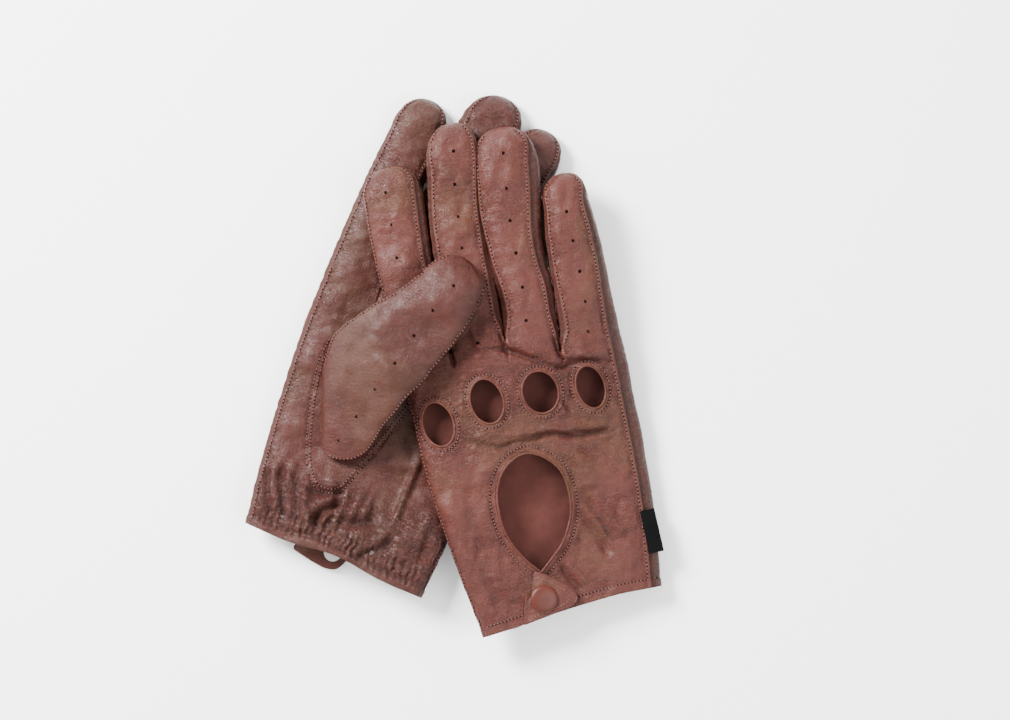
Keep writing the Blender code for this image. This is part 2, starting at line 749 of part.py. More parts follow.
def elastic(glove, material):
    """The flat elastic that gathers the palm at the wrist, inside the palm panel."""
    way = -1 if glove.back_up else 1
    made = bmesh.new()
    grid = {}
    steps = 8
    for i in range(steps + 1):
        r = ELASTIC_LEFT + (ELASTIC_RIGHT - ELASTIC_LEFT) * i / steps
        for j, u in enumerate((ELASTIC_FROM, ELASTIC_TO)):
            plan = Vector((r, u))
            face = glove.ground(plan) + (0.0 if glove.back_up else HAND_HEIGHT)
            at = glove.world(plan)
            for k in range(2):
                depth = LEATHER + PIECE_GAP + k * ELASTIC_THICKNESS
                grid[i, j, k] = made.verts.new(Vector((at.x, at.y, face - way * depth)) * MM)
    for i in range(steps):
        for k in range(2):
            made.faces.new([grid[i, 0, k], grid[i + 1, 0, k], grid[i + 1, 1, k], grid[i, 1, k]])
        for j in range(2):
            made.faces.new([grid[i, j, 0], grid[i + 1, j, 0], grid[i + 1, j, 1], grid[i, j, 1]])
    for i in (0, steps):
        made.faces.new([grid[i, 0, 0], grid[i, 1, 0], grid[i, 1, 1], grid[i, 0, 1]])
    bmesh.ops.recalc_face_normals(made, faces=made.faces)
    return finished(f"{glove.name}_wrist_elastic", made, material)


def label(glove, material):
    """The plain woven tab sewn into the little-finger seam of the upper glove."""
    outline = [
        LABEL_PLACE + Vector((x * LABEL_WIDTH / 2, y * LABEL_LENGTH / 2))
        for x, y in ((-1, -1), (1, -1), (1, 1), (-1, 1))
    ]
    face = max(back_outer_height(glove, corner) for corner in outline)
    level = face + LABEL_RISE, face + LABEL_RISE + LABEL_THICKNESS
    return prism(f"{glove.name}_side_label", glove, outline, *level, material)


def hinge(name, at, direction, pieces):
    """Puts an empty on a joint's axis, its Z along the axis, and parents the moving pieces to it."""
    empty = bpy.data.objects.new(name, None)
    empty.empty_display_type = "SINGLE_ARROW"
    empty.empty_display_size = 20 * MM
    turn = Vector((0, 0, 1)).rotation_difference(direction).to_matrix().to_4x4()
    empty.matrix_world = Matrix.Translation(at) @ turn
    bpy.data.collections["driving_gloves"].objects.link(empty)
    for obj in pieces:
        obj.parent = empty
        obj.matrix_parent_inverse = empty.matrix_world.inverted()
    return empty


def bend_axis(glove, index):
    """The line along the top of the cut across a finger, from its left to its right."""
    finger = glove.fingers[index]
    centre, across, half, height = finger_row(finger, finger.cut)
    reach = 0.5 * half
    left = glove.place(centre - across * reach, 2 * height + JOINT_GAP / 2)
    right = glove.place(centre + across * reach, 2 * height + JOINT_GAP / 2)
    return (left + right) / 2, (right - left).normalized()


def line_axis(glove, start, end, height):
    """The line from one point of the plan to another. height gives how far above the underside it runs."""
    first, last = glove.place(start, height(glove, start)), glove.place(end, height(glove, end))
    return (first + last) / 2, (last - first).normalized()


def strap_height(glove, plan):
    """How far the strap's outer face stands above the glove's underside."""
    if glove.back_up:
        return HAND_HEIGHT + STRAP_RISE + STRAP_LEATHER
    return -STRAP_RISE - STRAP_LEATHER


def add_joints(glove):
    """The empties that carry each moving group of one glove."""
    side = glove.name
    parts = bpy.data.collections["driving_gloves"].objects

    def of(*starts):
        return [obj for obj in parts if obj.type == "MESH" and obj.name.startswith(starts)]

    for index, finger in enumerate(glove.fingers):
        if finger.cut == 1:
            continue
        own = [obj for obj in of(f"{side}_{finger.name}_") if "crotch" not in obj.name]
        if finger.cut:
            hinge(f"{side}_{finger.name}_bend", *bend_axis(glove, index), own)
            continue
        outer, way = (finger.base_left, 1) if index == 0 else (finger.base_right, -1)
        hinge(f"{side}_{finger.name}_spread", glove.place(outer, HAND_HEIGHT / 2), Vector((0, 0, way)), own)
    thumb = glove.thumb
    first, last = thumb.base_left, thumb.base_right
    if glove.back_up:
        first, last = last, first
    hinge(f"{side}_thumb_swing", *line_axis(glove, first, last, thumb_ground), of(f"{side}_thumb_"))
    first, last = glove.strap_hinge
    if glove.back_up:
        first, last = last, first
    moving = of(f"{side}_closing_strap", f"{side}_snap_cap", f"{side}_snap_socket")
    hinge(f"{side}_strap_open", *line_axis(glove, first, last, strap_height), moving)


def make_material(name, colour, roughness, metallic=0.0):
    """A Principled material."""
    material = bpy.data.materials.new(name)
    material.use_nodes = True
    shader = material.node_tree.nodes["Principled BSDF"]
    shader.inputs["Base Color"].default_value = colour
    shader.inputs["Roughness"].default_value = roughness
    shader.inputs["Metallic"].default_value = metallic
    return material


def build_glove(glove, materials):
    """Every piece of one glove."""
    side = glove.name
    leather, inside = materials["leather"], materials["inside"]
    back_is_upper = glove.back_up
    back = hand_panel(glove, back_is_upper, f"{side}_back_panel", leather)
    palm = hand_panel(glove, not back_is_upper, f"{side}_palm_panel", leather)
    count = len(glove.fingers)
    for index, finger in enumerate(glove.fingers):
        moves = finger.cut < 1
        if moves:
            finger_panel(glove, index, back_is_upper, f"{side}_{finger.name}_back", leather)
            finger_panel(glove, index, not back_is_upper, f"{side}_{finger.name}_palm", leather)
        if index < count - 1 and finger.cut and glove.fingers[index + 1].cut:
            name = f"{side}_{finger.name}_{glove.fingers[index + 1].name}_crotch_strip"
            crotch_fourchette(glove, index, name, leather)
        for way, step in (("index", -1), ("little", 1)):
            other = index + step
            if not 0 <= other < count:
                continue
            if moves or not glove.fingers[other].cut:
                first = max(finger.cut % 1, 5.0 / finger_length(finger))
                name = f"{side}_{finger.name}_{way}_side_strip"
                fourchette(glove, index, step, first, FOURCHETTE_END - 0.1, name, leather)
    thumb_panel(glove, True, f"{side}_thumb_{'palm' if glove.back_up else 'back'}", leather)
    thumb_panel(glove, False, f"{side}_thumb_{'back' if glove.back_up else 'palm'}", leather)

    facing = knuckle_facing(glove, inside)
    for i, (r, u, a, b) in enumerate(KNUCKLE_HOLES):
        face = back_outer_height(glove, Vector((r, u)))
        outline = ellipse(Vector((r, u)), a, b, KNUCKLE_TILT)
        hole = prism(f"{side}_knuckle_{i}", glove, outline, face - KNUCKLE_CUT, face + KNUCKLE_CUT)
        cut(back, hole)
        cut(facing, hole)
    edge = opening_facing(glove, inside)
    face = back_outer_height(glove, OPENING_CENTRE)
    deep, clear = face - OPENING_CUT_BELOW, face + OPENING_CUT_ABOVE
    window = prism(f"{side}_opening", glove, opening_outline(glove), deep, clear)
    cut(back, window)
    cut(edge, window)
    slit = prism(f"{side}_slit", glove, glove.slit, deep, clear)
    cut(back, slit)
    cut(edge, slit)
    cut(back, drum(f"{side}_flap_hole", glove, glove.snap, STUD_BORE, -4, 4, segments=16))
    mouth = glove.thumb_hole
    palm_face = HAND_HEIGHT - back_outer_height(glove, mouth[0]) + 2 * glove.ground(mouth[0])
    outline = ellipse(*mouth)
    hole = prism(f"{side}_thumb_hole", glove, outline, palm_face - THUMB_CUT, palm_face + THUMB_CUT)
    cut(palm, hole)

    strap(glove, leather)
    snap(glove, materials)
    elastic(glove, materials["elastic"])
    if glove.back_up:
        label(glove, materials["label"])


def at(r, u):
    """A point of the plan."""
    return Vector((r, u))


RIGHT = Glove(
    name="right",
    origin=at(57.1, -119.0),
    heading=13.0,
    back_up=True,
    fingers=(
        Finger(
            "index", at(-53.4, 139.0), at(-28.6, 136.3), at(-40.6, 186.0), at(-39.2, 230.3),
            12.9, 12.6, cut=0.53,
        ),
        Finger(
            "middle", at(-28.6, 136.3), at(-1.4, 135.0), at(-12.9, 190.0), at(-4.0, 245.0),
            12.6, 12.0, cut=0.46,
        ),
        Finger(
            "ring", at(-1.4, 135.0), at(23.4, 124.3), at(13.8, 182.0), at(19.2, 237.2),
            12.4, 12.8, cut=0.46,
        ),
        Finger(
            "little", at(23.4, 124.3), at(54.0, 117.2), at(41.2, 164.0), at(43.6, 208.6),
            12.5, 11.6, cut=0.46,
        ),
    ),
    left_edge=(at(-44.1, -2.3), at(-49.5, 37.0), at(-53.4, 78.0), at(-53.6, 108.0), at(-53.4, 139.0)),
    right_edge=(at(45.6, 2.4), at(50.2, 34.0), at(52.4, 64.0), at(53.4, 92.0), at(54.0, 117.2)),
    cuff=(at(-44.1, -2.3), at(-20.6, -0.3), at(2.4, 1.9), at(25.3, 3.2), at(45.6, 2.4)),
    thumb=Finger(
        "thumb", at(-24.5, 82.0), at(-12.0, 38.0), at(3.0, 96.0), at(23.5, 136.0), 14.5, 12.0, 3.6, 2.6
    ),
    thumb_hole=(at(-9.6, 62.0), 6.0, 16.0, 15.5),
    opening_shift=0.0,
    snap=at(-12.2, 9.8),
    strap=(
        at(-21.5, -0.2), at(-8.0, 1.4), at(1.6, 3.2), at(4.6, 6.6), at(4.0, 10.0), at(-1.8, 16.0), at(-8.6, 21.4),
        at(-13.5, 25.6), at(-17.0, 20.0),
    ),
    strap_hinge=(at(-21.5, -0.2), at(-13.5, 25.6)),
    slit=(at(-22.6, -8.0), at(-18.4, -8.0), at(-10.6, 28.0), at(-14.4, 30.0)),
)

LEFT = Glove(
    name="left",
    origin=at(-58.0, -92.2),
    heading=-19.0,
    back_up=False,
    fingers=(
        Finger(
            "index", at(-49.6, 131.0), at(-20.5, 131.0), at(-32.8, 180.0), at(-29.4, 225.8),
            12.9, 12.2,
        ),
        Finger(
            "middle", at(-20.5, 131.0), at(7.0, 131.5), at(-5.0, 184.0), at(4.0, 238.5),
            12.3, 12.2, cut=1,
        ),
        Finger(
            "ring", at(7.0, 131.5), at(31.5, 123.0), at(21.0, 176.0), at(28.5, 229.6),
            11.1, 10.6, cut=1,
        ),
        Finger(
            "little", at(31.5, 123.0), at(51.0, 112.0), at(42.2, 158.0), at(45.0, 199.0),
            8.9, 9.0,
        ),
    ),
    left_edge=(at(-46.0, 1.7), at(-49.0, 33.0), at(-50.5, 66.0), at(-50.9, 98.0), at(-49.6, 131.0)),
    right_edge=(at(46.0, -5.0), at(49.4, 24.0), at(50.0, 54.0), at(51.0, 84.0), at(51.0, 112.0)),
    cuff=(at(-46.0, 1.7), at(-23.0, 0.0), at(-8.0, 1.0), at(20.0, -3.0), at(46.0, -5.0)),
    thumb=Finger(
        "thumb", at(-38.0, 96.0), at(-19.5, 38.0), at(-3.0, 105.5), at(22.6, 153.0), 20.6, 13.6, 5.6, 2.6
    ),
    thumb_hole=(at(-19.8, 69.8), 6.5, 20.0, 17.7),
    opening_shift=OPENING_SHIFT_LEFT,
    snap=at(-1.5, 1.5),
    strap=(
        at(-20.5, -3.2), at(-12.0, -5.6), at(-3.0, -7.2), at(3.6, -5.6), at(6.6, 0.0), at(5.0, 6.0), at(0.0, 8.6),
        at(-5.6, 6.4), at(-8.8, 1.6), at(-12.5, 3.6), at(-17.0, 9.0),
    ),
    strap_hinge=(at(-20.5, -3.2), at(-17.0, 9.0)),
    slit=(at(-22.4, -12.0), at(-12.6, -12.0), at(-9.6, 14.0), at(-15.0, 14.0)),
)


def clear_scene():
    """Removes every object and makes the two collections."""
    for obj in list(bpy.data.objects):
        bpy.data.objects.remove(obj)
    for name in ("driving_gloves", "cutters"):
        made = bpy.data.collections.new(name)
        bpy.context.scene.collection.children.link(made)


def main():
    """Builds the pair."""
    clear_scene()
    materials = {
        "leather": make_material("brown_leather", LEATHER_BROWN, 0.5),
        "inside": make_material("leather_flesh_side", INSIDE_BROWN, 0.85),
        "cap": make_material("painted_cap", CAP_BROWN, 0.3),
        "metal": make_material("nickel", STEEL, 0.3, 1.0),
        "elastic": make_material("elastic", ELASTIC_BLACK, 0.8),
        "label": make_material("label", LABEL_BLACK, 0.7),
    }
    for glove in (LEFT, RIGHT):
        build_glove(glove, materials)
        add_joints(glove)


main()
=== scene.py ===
"""The look of a pair of short leather driving gloves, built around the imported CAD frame.

Each glove is one continuous skin. It is planned flat in the glove's own frame, where r runs across
the hand from the index side and u runs from the cuff to the fingertips, in millimetres. The skin is
pierced, creased and gathered, and is then cut along its seams into the leather pieces that the glove
is sewn from. Every piece becomes a closed leather shell with its own stitches.
"""

import logging
import math
from collections.abc import Callable
from dataclasses import dataclass, field
from enum import Enum

import bpy
import numpy as np
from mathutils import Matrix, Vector
from mathutils.bvhtree import BVHTree


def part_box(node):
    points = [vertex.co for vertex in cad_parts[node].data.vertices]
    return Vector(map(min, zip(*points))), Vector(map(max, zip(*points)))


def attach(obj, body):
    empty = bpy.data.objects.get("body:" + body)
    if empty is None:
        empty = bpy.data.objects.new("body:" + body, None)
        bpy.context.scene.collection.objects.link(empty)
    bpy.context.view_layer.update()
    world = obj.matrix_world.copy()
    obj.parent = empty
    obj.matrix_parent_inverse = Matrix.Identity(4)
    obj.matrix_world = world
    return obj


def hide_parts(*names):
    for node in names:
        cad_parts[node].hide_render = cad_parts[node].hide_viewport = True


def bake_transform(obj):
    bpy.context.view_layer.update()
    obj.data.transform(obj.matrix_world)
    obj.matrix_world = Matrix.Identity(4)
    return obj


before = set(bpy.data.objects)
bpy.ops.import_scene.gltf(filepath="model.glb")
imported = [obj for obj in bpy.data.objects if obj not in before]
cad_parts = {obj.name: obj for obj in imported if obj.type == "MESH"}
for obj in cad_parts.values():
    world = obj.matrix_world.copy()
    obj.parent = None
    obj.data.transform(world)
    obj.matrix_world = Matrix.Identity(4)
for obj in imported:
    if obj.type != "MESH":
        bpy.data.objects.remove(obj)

LOG = logging.getLogger("gloves")
MM = 0.001
Plan = tuple[float, float]  # r and u
Array = np.ndarray
Spot = tuple[Array, Array, Array]  # a stitch's or hole's middle, its direction and the surface's normal

GLOVE_HEIGHT = 12.0  # of the hand, between its back and its palm
UPPER_GLOVE_RISE = 13.2  # how high the upper glove lies where it crosses the lower one
ROUNDING = 0.8  # exponent of a tube's rounded section: 1 is an ellipse, less is boxier
SECTION_HALVES = (13.0, 6.1)  # half width and half height of a usual finger
UPPER_COLUMNS = 32
STRIP_COLUMNS = 5
LOWER_COLUMNS = 20
HAND_ROWS = 128
FLOOR_GAP = 0.12  # the lowest that a leather point lies above the sheet
SEAM_INSET = 2.3  # from a seam to its row of stitches
STITCH_PITCH = 1.85
STITCH_LENGTH = 1.25
STITCH_TO_HOLE = 0.92
NEEDLE_RADIUS = 0.4
PUNCH_RADIUS = 0.85
CREASE_FADE = (0.8, 3.0)  # distances from a seam between which the fine creases come in
ELASTIC_ROWS = (5.6, 11.0)  # heights above the cuff at which the elastic is sewn down
FACE_SHIFT = 40.0  # keeps the grain of the two faces apart


class Side(Enum):
    """Which glove of the pair."""

    LEFT = "left"
    RIGHT = "right"


def smooth(value: Array | float, start: float, end: float) -> Array:
    """Smooth step from 0 at start to 1 at end."""
    share = np.clip((np.asarray(value, float) - start) / (end - start), 0.0, 1.0)
    return share * share * (3 - 2 * share)


def bump(value: Array | float, middle: float, width: float) -> Array:
    """A bell of height 1 round a middle."""
    return np.exp(-(((np.asarray(value, float) - middle) / width) ** 2))


def through(points: Array, share: Array) -> Array:
    """Points at shares of a smooth curve through the given points.

    Args:
        points: The curve's points, one row each.
        share: Places along it from 0 to 1.

    Returns:
        One row for each share.
    """
    count = len(points) - 1
    place = np.clip(np.atleast_1d(share), 0, 1) * count
    i = np.minimum(place.astype(int), count - 1)
    t = (place - i)[:, None]
    p1, p2 = points[i], points[i + 1]
    p0 = np.where((i > 0)[:, None], points[np.maximum(i - 1, 0)], 2 * p1 - p2)
    p3 = np.where((i < count - 1)[:, None], points[np.minimum(i + 2, count)], 2 * p2 - p1)
    bend = (2 * p0 - 5 * p1 + 4 * p2 - p3) * t**2 + (3 * p1 - p0 - 3 * p2 + p3) * t**3
    return 0.5 * (2 * p1 + (p2 - p0) * t + bend)


def evenly(points: Array, pitch: float, closed: bool = False) -> Array:
    """The points of a polyline, resampled at an even pitch."""
    line = np.vstack([points, points[:1]]) if closed else points
    far = np.concatenate([[0.0], np.cumsum(np.linalg.norm(np.diff(line, axis=0), axis=1))])
    count = max(2, int(round(far[-1] / pitch)) + (0 if closed else 1))
    at = np.linspace(0, far[-1], count, endpoint=not closed)
    return np.stack([np.interp(at, far, line[:, k]) for k in range(line.shape[1])], axis=1)


def distance_to(points: Array, line: Array) -> tuple[Array, Array]:
    """How far plan points lie from a polyline, and the share of its length of the nearest place."""
    best = np.full(len(points), 1e9)
    share = np.zeros(len(points))
    lengths = np.linalg.norm(np.diff(line, axis=0), axis=1)
    done, total = 0.0, lengths.sum()
    for a, b, length in zip(line, line[1:], lengths, strict=False):
        if length < 1e-9:
            continue
        t = np.clip(((points - a) @ (b - a)) / length**2, 0, 1)
        away = np.linalg.norm(points - a - t[:, None] * (b - a), axis=1)
        nearer = away < best
        best[nearer] = away[nearer]
        share[nearer] = ((done + t * length) / total)[nearer]
        done += length
    return best, share


def waves(seed: int, longest: float, shortest: float, count: int = 26) -> Callable[[Array], Array]:
    """A smooth random relief over the plan, of about unit height.

    Args:
        seed: Fixes the relief.
        longest: The longest wave.
        shortest: The shortest wave.
        count: How many waves are added up.

    Returns:
        A function from plan points to heights.
    """
    rng = np.random.default_rng(seed)
    size = np.exp(rng.uniform(np.log(shortest), np.log(longest), count))
    turn = rng.uniform(0, 2 * np.pi, count)
    start = rng.uniform(0, 2 * np.pi, count)
    weight = (size / longest) ** 0.7
    weight /= np.sqrt((weight**2).sum() / 2)

    def relief(plan: Array) -> Array:
        """The height at each plan point."""
        total = np.zeros(len(plan))
        for s, a, p, w in zip(size, turn, start, weight, strict=True):
            total += w * np.sin((plan @ np.array([np.cos(a), np.sin(a)])) * 2 * np.pi / s + p)
        return total

    return relief


# ----------------------------------------------------------------------------- shader maths


class Socket:
    """One output of a shader node, with the operators that add Math nodes."""

    def __init__(self, shader: "Shader", link: bpy.types.NodeSocket) -> None:
        """Wraps a node's output."""
        self.shader, self.link = shader, link

    def _math(self, operation: str, *values: "Socket | float") -> "Socket":
        """Adds a Math node."""
        return self.shader.node("ShaderNodeMath", {"operation": operation}, dict(enumerate(values)))

    def __add__(self, other: "Socket | float") -> "Socket":
        """Sum."""
        return self._math("ADD", self, other)

    def __radd__(self, other: float) -> "Socket":
        """Sum with a number first."""
        return self._math("ADD", other, self)

    def __sub__(self, other: "Socket | float") -> "Socket":
        """Difference."""
        return self._math("SUBTRACT", self, other)

    def __rsub__(self, other: float) -> "Socket":
        """Difference with a number first."""
        return self._math("SUBTRACT", other, self)

    def __mul__(self, other: "Socket | float") -> "Socket":
        """Product."""
        return self._math("MULTIPLY", self, other)

    def __rmul__(self, other: float) -> "Socket":
        """Product with a number first."""
        return self._math("MULTIPLY", other, self)

    def power(self, other: float) -> "Socket":
        """This value raised to a power."""
        return self._math("POWER", self, other)

    def between(self, low: float, high: float) -> "Socket":
        """0 at low, 1 at high, smooth between and held outside."""
        settings = {"interpolation_type": "SMOOTHSTEP"}
        values = {"Value": self, "From Min": low, "From Max": high}
        return self.shader.node("ShaderNodeMapRange", settings, values)


class Shader:
    """The nodes of one material."""

    def __init__(self, name: str) -> None:
        """Makes an empty material with its output node."""
        self.material = bpy.data.materials.new(name)
        self.material.use_nodes = True
        self.tree = self.material.node_tree
        self.tree.nodes.clear()
        self.output = self.tree.nodes.new("ShaderNodeOutputMaterial")

    def node(
        self, kind: str, settings: dict | None = None, values: dict | None = None, out: int | str = 0
    ) -> Socket:
        """Adds a node.

        Args:
            kind: The node's type.
            settings: Its own properties, set first.
            values: Socket names or numbers, with a value or a link each.
            out: Which output is wanted.

        Returns:
            The wanted output.
        """
        made = self.tree.nodes.new(kind)
        for key, value in (settings or {}).items():
            setattr(made, key, value)
        for key, value in (values or {}).items():
            if isinstance(value, Socket):
                self.tree.links.new(value.link, made.inputs[key])
            elif isinstance(value, tuple) and len(value) == 3 and made.inputs[key].type == "RGBA":
                made.inputs[key].default_value = (*value, 1.0)
            else:
                made.inputs[key].default_value = value
        return Socket(self, made.outputs[out])

    def attribute(self, name: str, out: str = "Fac") -> Socket:
        """A value that the mesh carries."""
        return self.node("ShaderNodeAttribute", {"attribute_name": name}, out=out)

    def mix(self, share: Socket | float, first: Socket | tuple, second: Socket | tuple) -> Socket:
        """A colour between two colours."""
        settings = {"data_type": "RGBA", "blend_type": "MIX"}
        return self.node("ShaderNodeMix", settings, {0: share, 6: first, 7: second}, 2)

    def scaled(self, vector: Socket, scale: tuple) -> Socket:
        """A vector with each part multiplied."""
        return self.node("ShaderNodeVectorMath", {"operation": "MULTIPLY"}, {0: vector, 1: scale})

    def noise(self, vector: Socket, scale: float, detail: float = 3.0, rough: float = 0.55) -> Socket:
        """Fractal noise from 0 to 1."""
        values = {"Vector": vector, "Scale": scale, "Detail": detail, "Roughness": rough}
        return self.node("ShaderNodeTexNoise", {}, values)

    def cells(self, vector: Socket, scale: float) -> Socket:
        """Distance to the border of the cells of a Voronoi pattern."""
        settings = {"feature": "DISTANCE_TO_EDGE"}
        return self.node("ShaderNodeTexVoronoi", settings, {"Vector": vector, "Scale": scale})

    def finish(
        self, values: dict, height: Socket | None = None, strength: float = 0.3, depth: float = 0.1
    ) -> None:
        """Puts a Principled shader on the output.

        Args:
            values: Its socket values and links.
            height: What its bump comes from.
            strength: How strong the bump is.
            depth: How deep the bump is, in thousandths of a metre.
        """
        if height is not None:
            bumps = {"Height": height, "Strength": strength, "Distance": depth * MM}
            values = {**values, "Normal": self.node("ShaderNodeBump", {}, bumps)}
        shader = self.node("ShaderNodeBsdfPrincipled", {}, values, "BSDF")
        self.tree.links.new(shader.link, self.output.inputs["Surface"])


@dataclass(frozen=True)
class Leather:
    """Smooth nappa leather, dyed unevenly in two browns, with painted shade and painted highlights laid on by
    the skin's values.
    """

    name: str
    rosy: tuple[float, float, float]
    olive: tuple[float, float, float]
    deep: tuple[float, float, float]
    olive_share: float = 0.5
    roughness: float = 0.4

    def make(self) -> bpy.types.Material:
        """Builds the material."""
        shader = Shader(self.name)
        plan = shader.attribute("plan", "Vector")
        patches = shader.noise(shader.scaled(plan, (1.0, 0.8, 1.0)), 0.022, 3.0, 0.6)
        clouds = shader.noise(plan, 0.11, 4.0, 0.62)
        pores = shader.cells(plan, 1.15)
        grain = shader.noise(plan, 1.6, 3.0, 0.6)
        wrinkle = shader.attribute("wrinkle")
        crossed = shader.noise(shader.scaled(plan, (0.35, 1.7, 1.0)), 0.42, 4.0, 0.65)
        slanted = shader.noise(shader.scaled(plan, (1.3, 0.5, 1.0)), 0.36, 4.0, 0.65)
        creases = (1.0 - (crossed - 0.5).power(2.0) * 150.0).between(0.0, 1.0)
        others = (1.0 - (slanted - 0.5).power(2.0) * 190.0).between(0.0, 1.0)
        lines = (creases + others * 0.6) * wrinkle
        shade = shader.attribute("shade")
        worn = shader.attribute("worn")

        lower = 0.3 * self.olive_share
        share = (patches * 0.75 + clouds * 0.25).between(0.62 - lower, 0.74 - lower)
        colour = shader.mix(share, self.rosy, self.olive)
        pale = tuple(1.7 * c + 0.004 for c in self.olive)
        colour = shader.mix(clouds.between(0.55, 0.9) * 0.3, colour, pale)
        colour = shader.mix(clouds.between(0.5, 0.15) * 0.4, colour, self.deep)
        mottle = shader.noise(plan, 0.3, 4.0, 0.7)
        colour = shader.mix(mottle.between(0.52, 0.75) * 0.22, colour, self.deep)
        colour = shader.mix(mottle.between(0.42, 0.25) * 0.25, colour, pale)
        # painted shade in the fine crease lines
        colour = shader.mix(lines * 0.24, colour, self.deep)
        colour = shader.mix((1.0 - pores.between(0.0, 0.16)) * 0.14, colour, self.deep)
        # wear and painted highlight: paler on seam beads, hem edges, hole rims and the crests of gathers
        colour = shader.mix(worn * (0.25 + grain * 0.45), colour, pale)
        # painted shade: mixes towards the deep brown by the shade attribute, in seams, creases, gathers and
        # round holes
        colour = shader.mix(shade * 0.82, colour, self.deep)
        gloss = self.roughness + (grain - 0.5) * 0.16 + (clouds - 0.5) * 0.14 + shade * 0.14
        height = pores.between(0.0, 0.3) * 0.3 + grain * 0.35 - lines * 1.5 + clouds * 0.8
        values = {"Base Color": colour, "Roughness": gloss, "Specular IOR Level": 0.2}
        shader.finish(values, height, 0.75, 0.24)
        return shader.material


@dataclass(frozen=True)
class Flesh:
    """The unlined inside of the leather, matt and slightly fuzzy."""

    name: str
    tint: tuple[float, float, float]

    def make(self) -> bpy.types.Material:
        """Builds the material."""
        shader = Shader(self.name)
        place = shader.node("ShaderNodeTexCoord", out="Object")
        clouds = shader.noise(place, 90.0, 4.0, 0.6)
        fuzz = shader.noise(place, 1900.0, 3.0, 0.7)
        dark = tuple(0.78 * c for c in self.tint)
        pale = tuple(1.35 * c + 0.004 for c in self.tint)
        colour = shader.mix(clouds.between(0.3, 0.7), dark, self.tint)
        colour = shader.mix(fuzz.between(0.5, 0.8) * 0.35, colour, pale)
        values = {"Base Color": colour, "Roughness": 0.8 + fuzz * 0.12, "Specular IOR Level": 0.08}
        shader.finish(values, fuzz * 0.6 + clouds, 0.5, 0.2)
        return shader.material


@dataclass(frozen=True)
class Thread:
    """Twisted sewing thread."""

    name: str
    tint: tuple[float, float, float]

    def make(self) -> bpy.types.Material:
        """Builds the material."""
        shader = Shader(self.name)
        place = shader.node("ShaderNodeTexCoord", out="Object")
        twist = shader.noise(place, 5200.0, 2.0, 0.6)
        tone = shader.noise(place, 160.0, 2.0, 0.5)
        dark = tuple(0.55 * c for c in self.tint)
        colour = shader.mix(twist.between(0.35, 0.65) * 0.6, self.tint, dark)
        colour = shader.mix(tone.between(0.4, 0.7) * 0.3, colour, dark)
        shader.finish({"Base Color": colour, "Roughness": 0.55 + twist * 0.2}, twist, 0.4, 0.05)
        return shader.material


@dataclass(frozen=True)
class Enamel:
    """Reddish enamel over the metal snap cap, clouded and specked a little darker."""

    name: str
    tint: tuple[float, float, float]

    def make(self) -> bpy.types.Material:
        """Builds the material."""
        shader = Shader(self.name)
        place = shader.node("ShaderNodeTexCoord", out="Object")
        cloud = shader.noise(place, 260.0, 3.0, 0.5)
        specks = shader.noise(place, 2600.0, 2.0, 0.6)
        dark = tuple(0.72 * c for c in self.tint)
        colour = shader.mix(cloud.between(0.35, 0.7) * 0.5, self.tint, dark)
        colour = shader.mix(specks.between(0.62, 0.8) * 0.3, colour, dark)
        rough = 0.36 + cloud * 0.1 + specks * 0.06
        values = {"Base Color": colour, "Roughness": rough, "Specular IOR Level": 0.22}
        shader.finish(values, specks * 0.4 + cloud, 0.12, 0.1)
        return shader.material


@dataclass(frozen=True)
class Plated:
    """Plain plated metal with a fine brushed haze."""

    name: str
    tint: tuple[float, float, float]

    def make(self) -> bpy.types.Material:
        """Builds the material."""
        shader = Shader(self.name)
        place = shader.node("ShaderNodeTexCoord", out="Object")
        haze = shader.noise(shader.scaled(place, (1.0, 6.0, 1.0)), 900.0, 3.0, 0.6)
        dark = tuple(0.6 * c for c in self.tint)
        colour = shader.mix(haze.between(0.35, 0.7) * 0.5, self.tint, dark)
        values = {"Base Color": colour, "Roughness": 0.26 + haze * 0.2, "Metallic": 1.0}
        shader.finish(values, haze, 0.15, 0.05)
        return shader.material


@dataclass(frozen=True)
class Woven:
    """Plain woven tape or elastic."""

    name: str
    tint: tuple[float, float, float]
    pitch: float = 0.45

    def make(self) -> bpy.types.Material:
        """Builds the material."""
        shader = Shader(self.name)
        place = shader.node("ShaderNodeTexCoord", out="Object")
        turn = 2 * math.pi / (self.pitch * MM) / 20
        across = {"wave_type": "BANDS", "bands_direction": "X"}
        along = {"wave_type": "BANDS", "bands_direction": "Y"}
        warp = shader.node("ShaderNodeTexWave", across, {"Vector": place, "Scale": turn}, "Fac")
        weft = shader.node("ShaderNodeTexWave", along, {"Vector": place, "Scale": turn}, "Fac")
        fuzz = shader.noise(place, 2400.0, 2.0, 0.6)
        weave = warp * weft
        pale = tuple(1.9 * c + 0.001 for c in self.tint)
        colour = shader.mix(weave.between(0.1, 0.8) * 0.6, self.tint, pale)
        colour = shader.mix(fuzz.between(0.5, 0.8) * 0.3, colour, pale)
        values = {"Base Color": colour, "Roughness": 0.75 + fuzz * 0.15, "Specular IOR Level": 0.06}
        shader.finish(values, weave + fuzz * 0.3, 0.5, 0.08)
        return shader.material


@dataclass(frozen=True)
class HoleShade:
    """Painted shade standing in for the inside of a pierced or punched hole."""

    name: str
    tint: tuple[float, float, float]

    def make(self) -> bpy.types.Material:
        """Builds the material."""
        shader = Shader(self.name)
        place = shader.node("ShaderNodeTexCoord", out="Object")
        fuzz = shader.noise(place, 1500.0, 2.0, 0.6)
        colour = shader.mix(fuzz.between(0.4, 0.8) * 0.5, self.tint, tuple(2.0 * c for c in self.tint))
        shader.finish({"Base Color": colour, "Roughness": 0.85 + fuzz * 0.1, "Specular IOR Level": 0.02})
        return shader.material


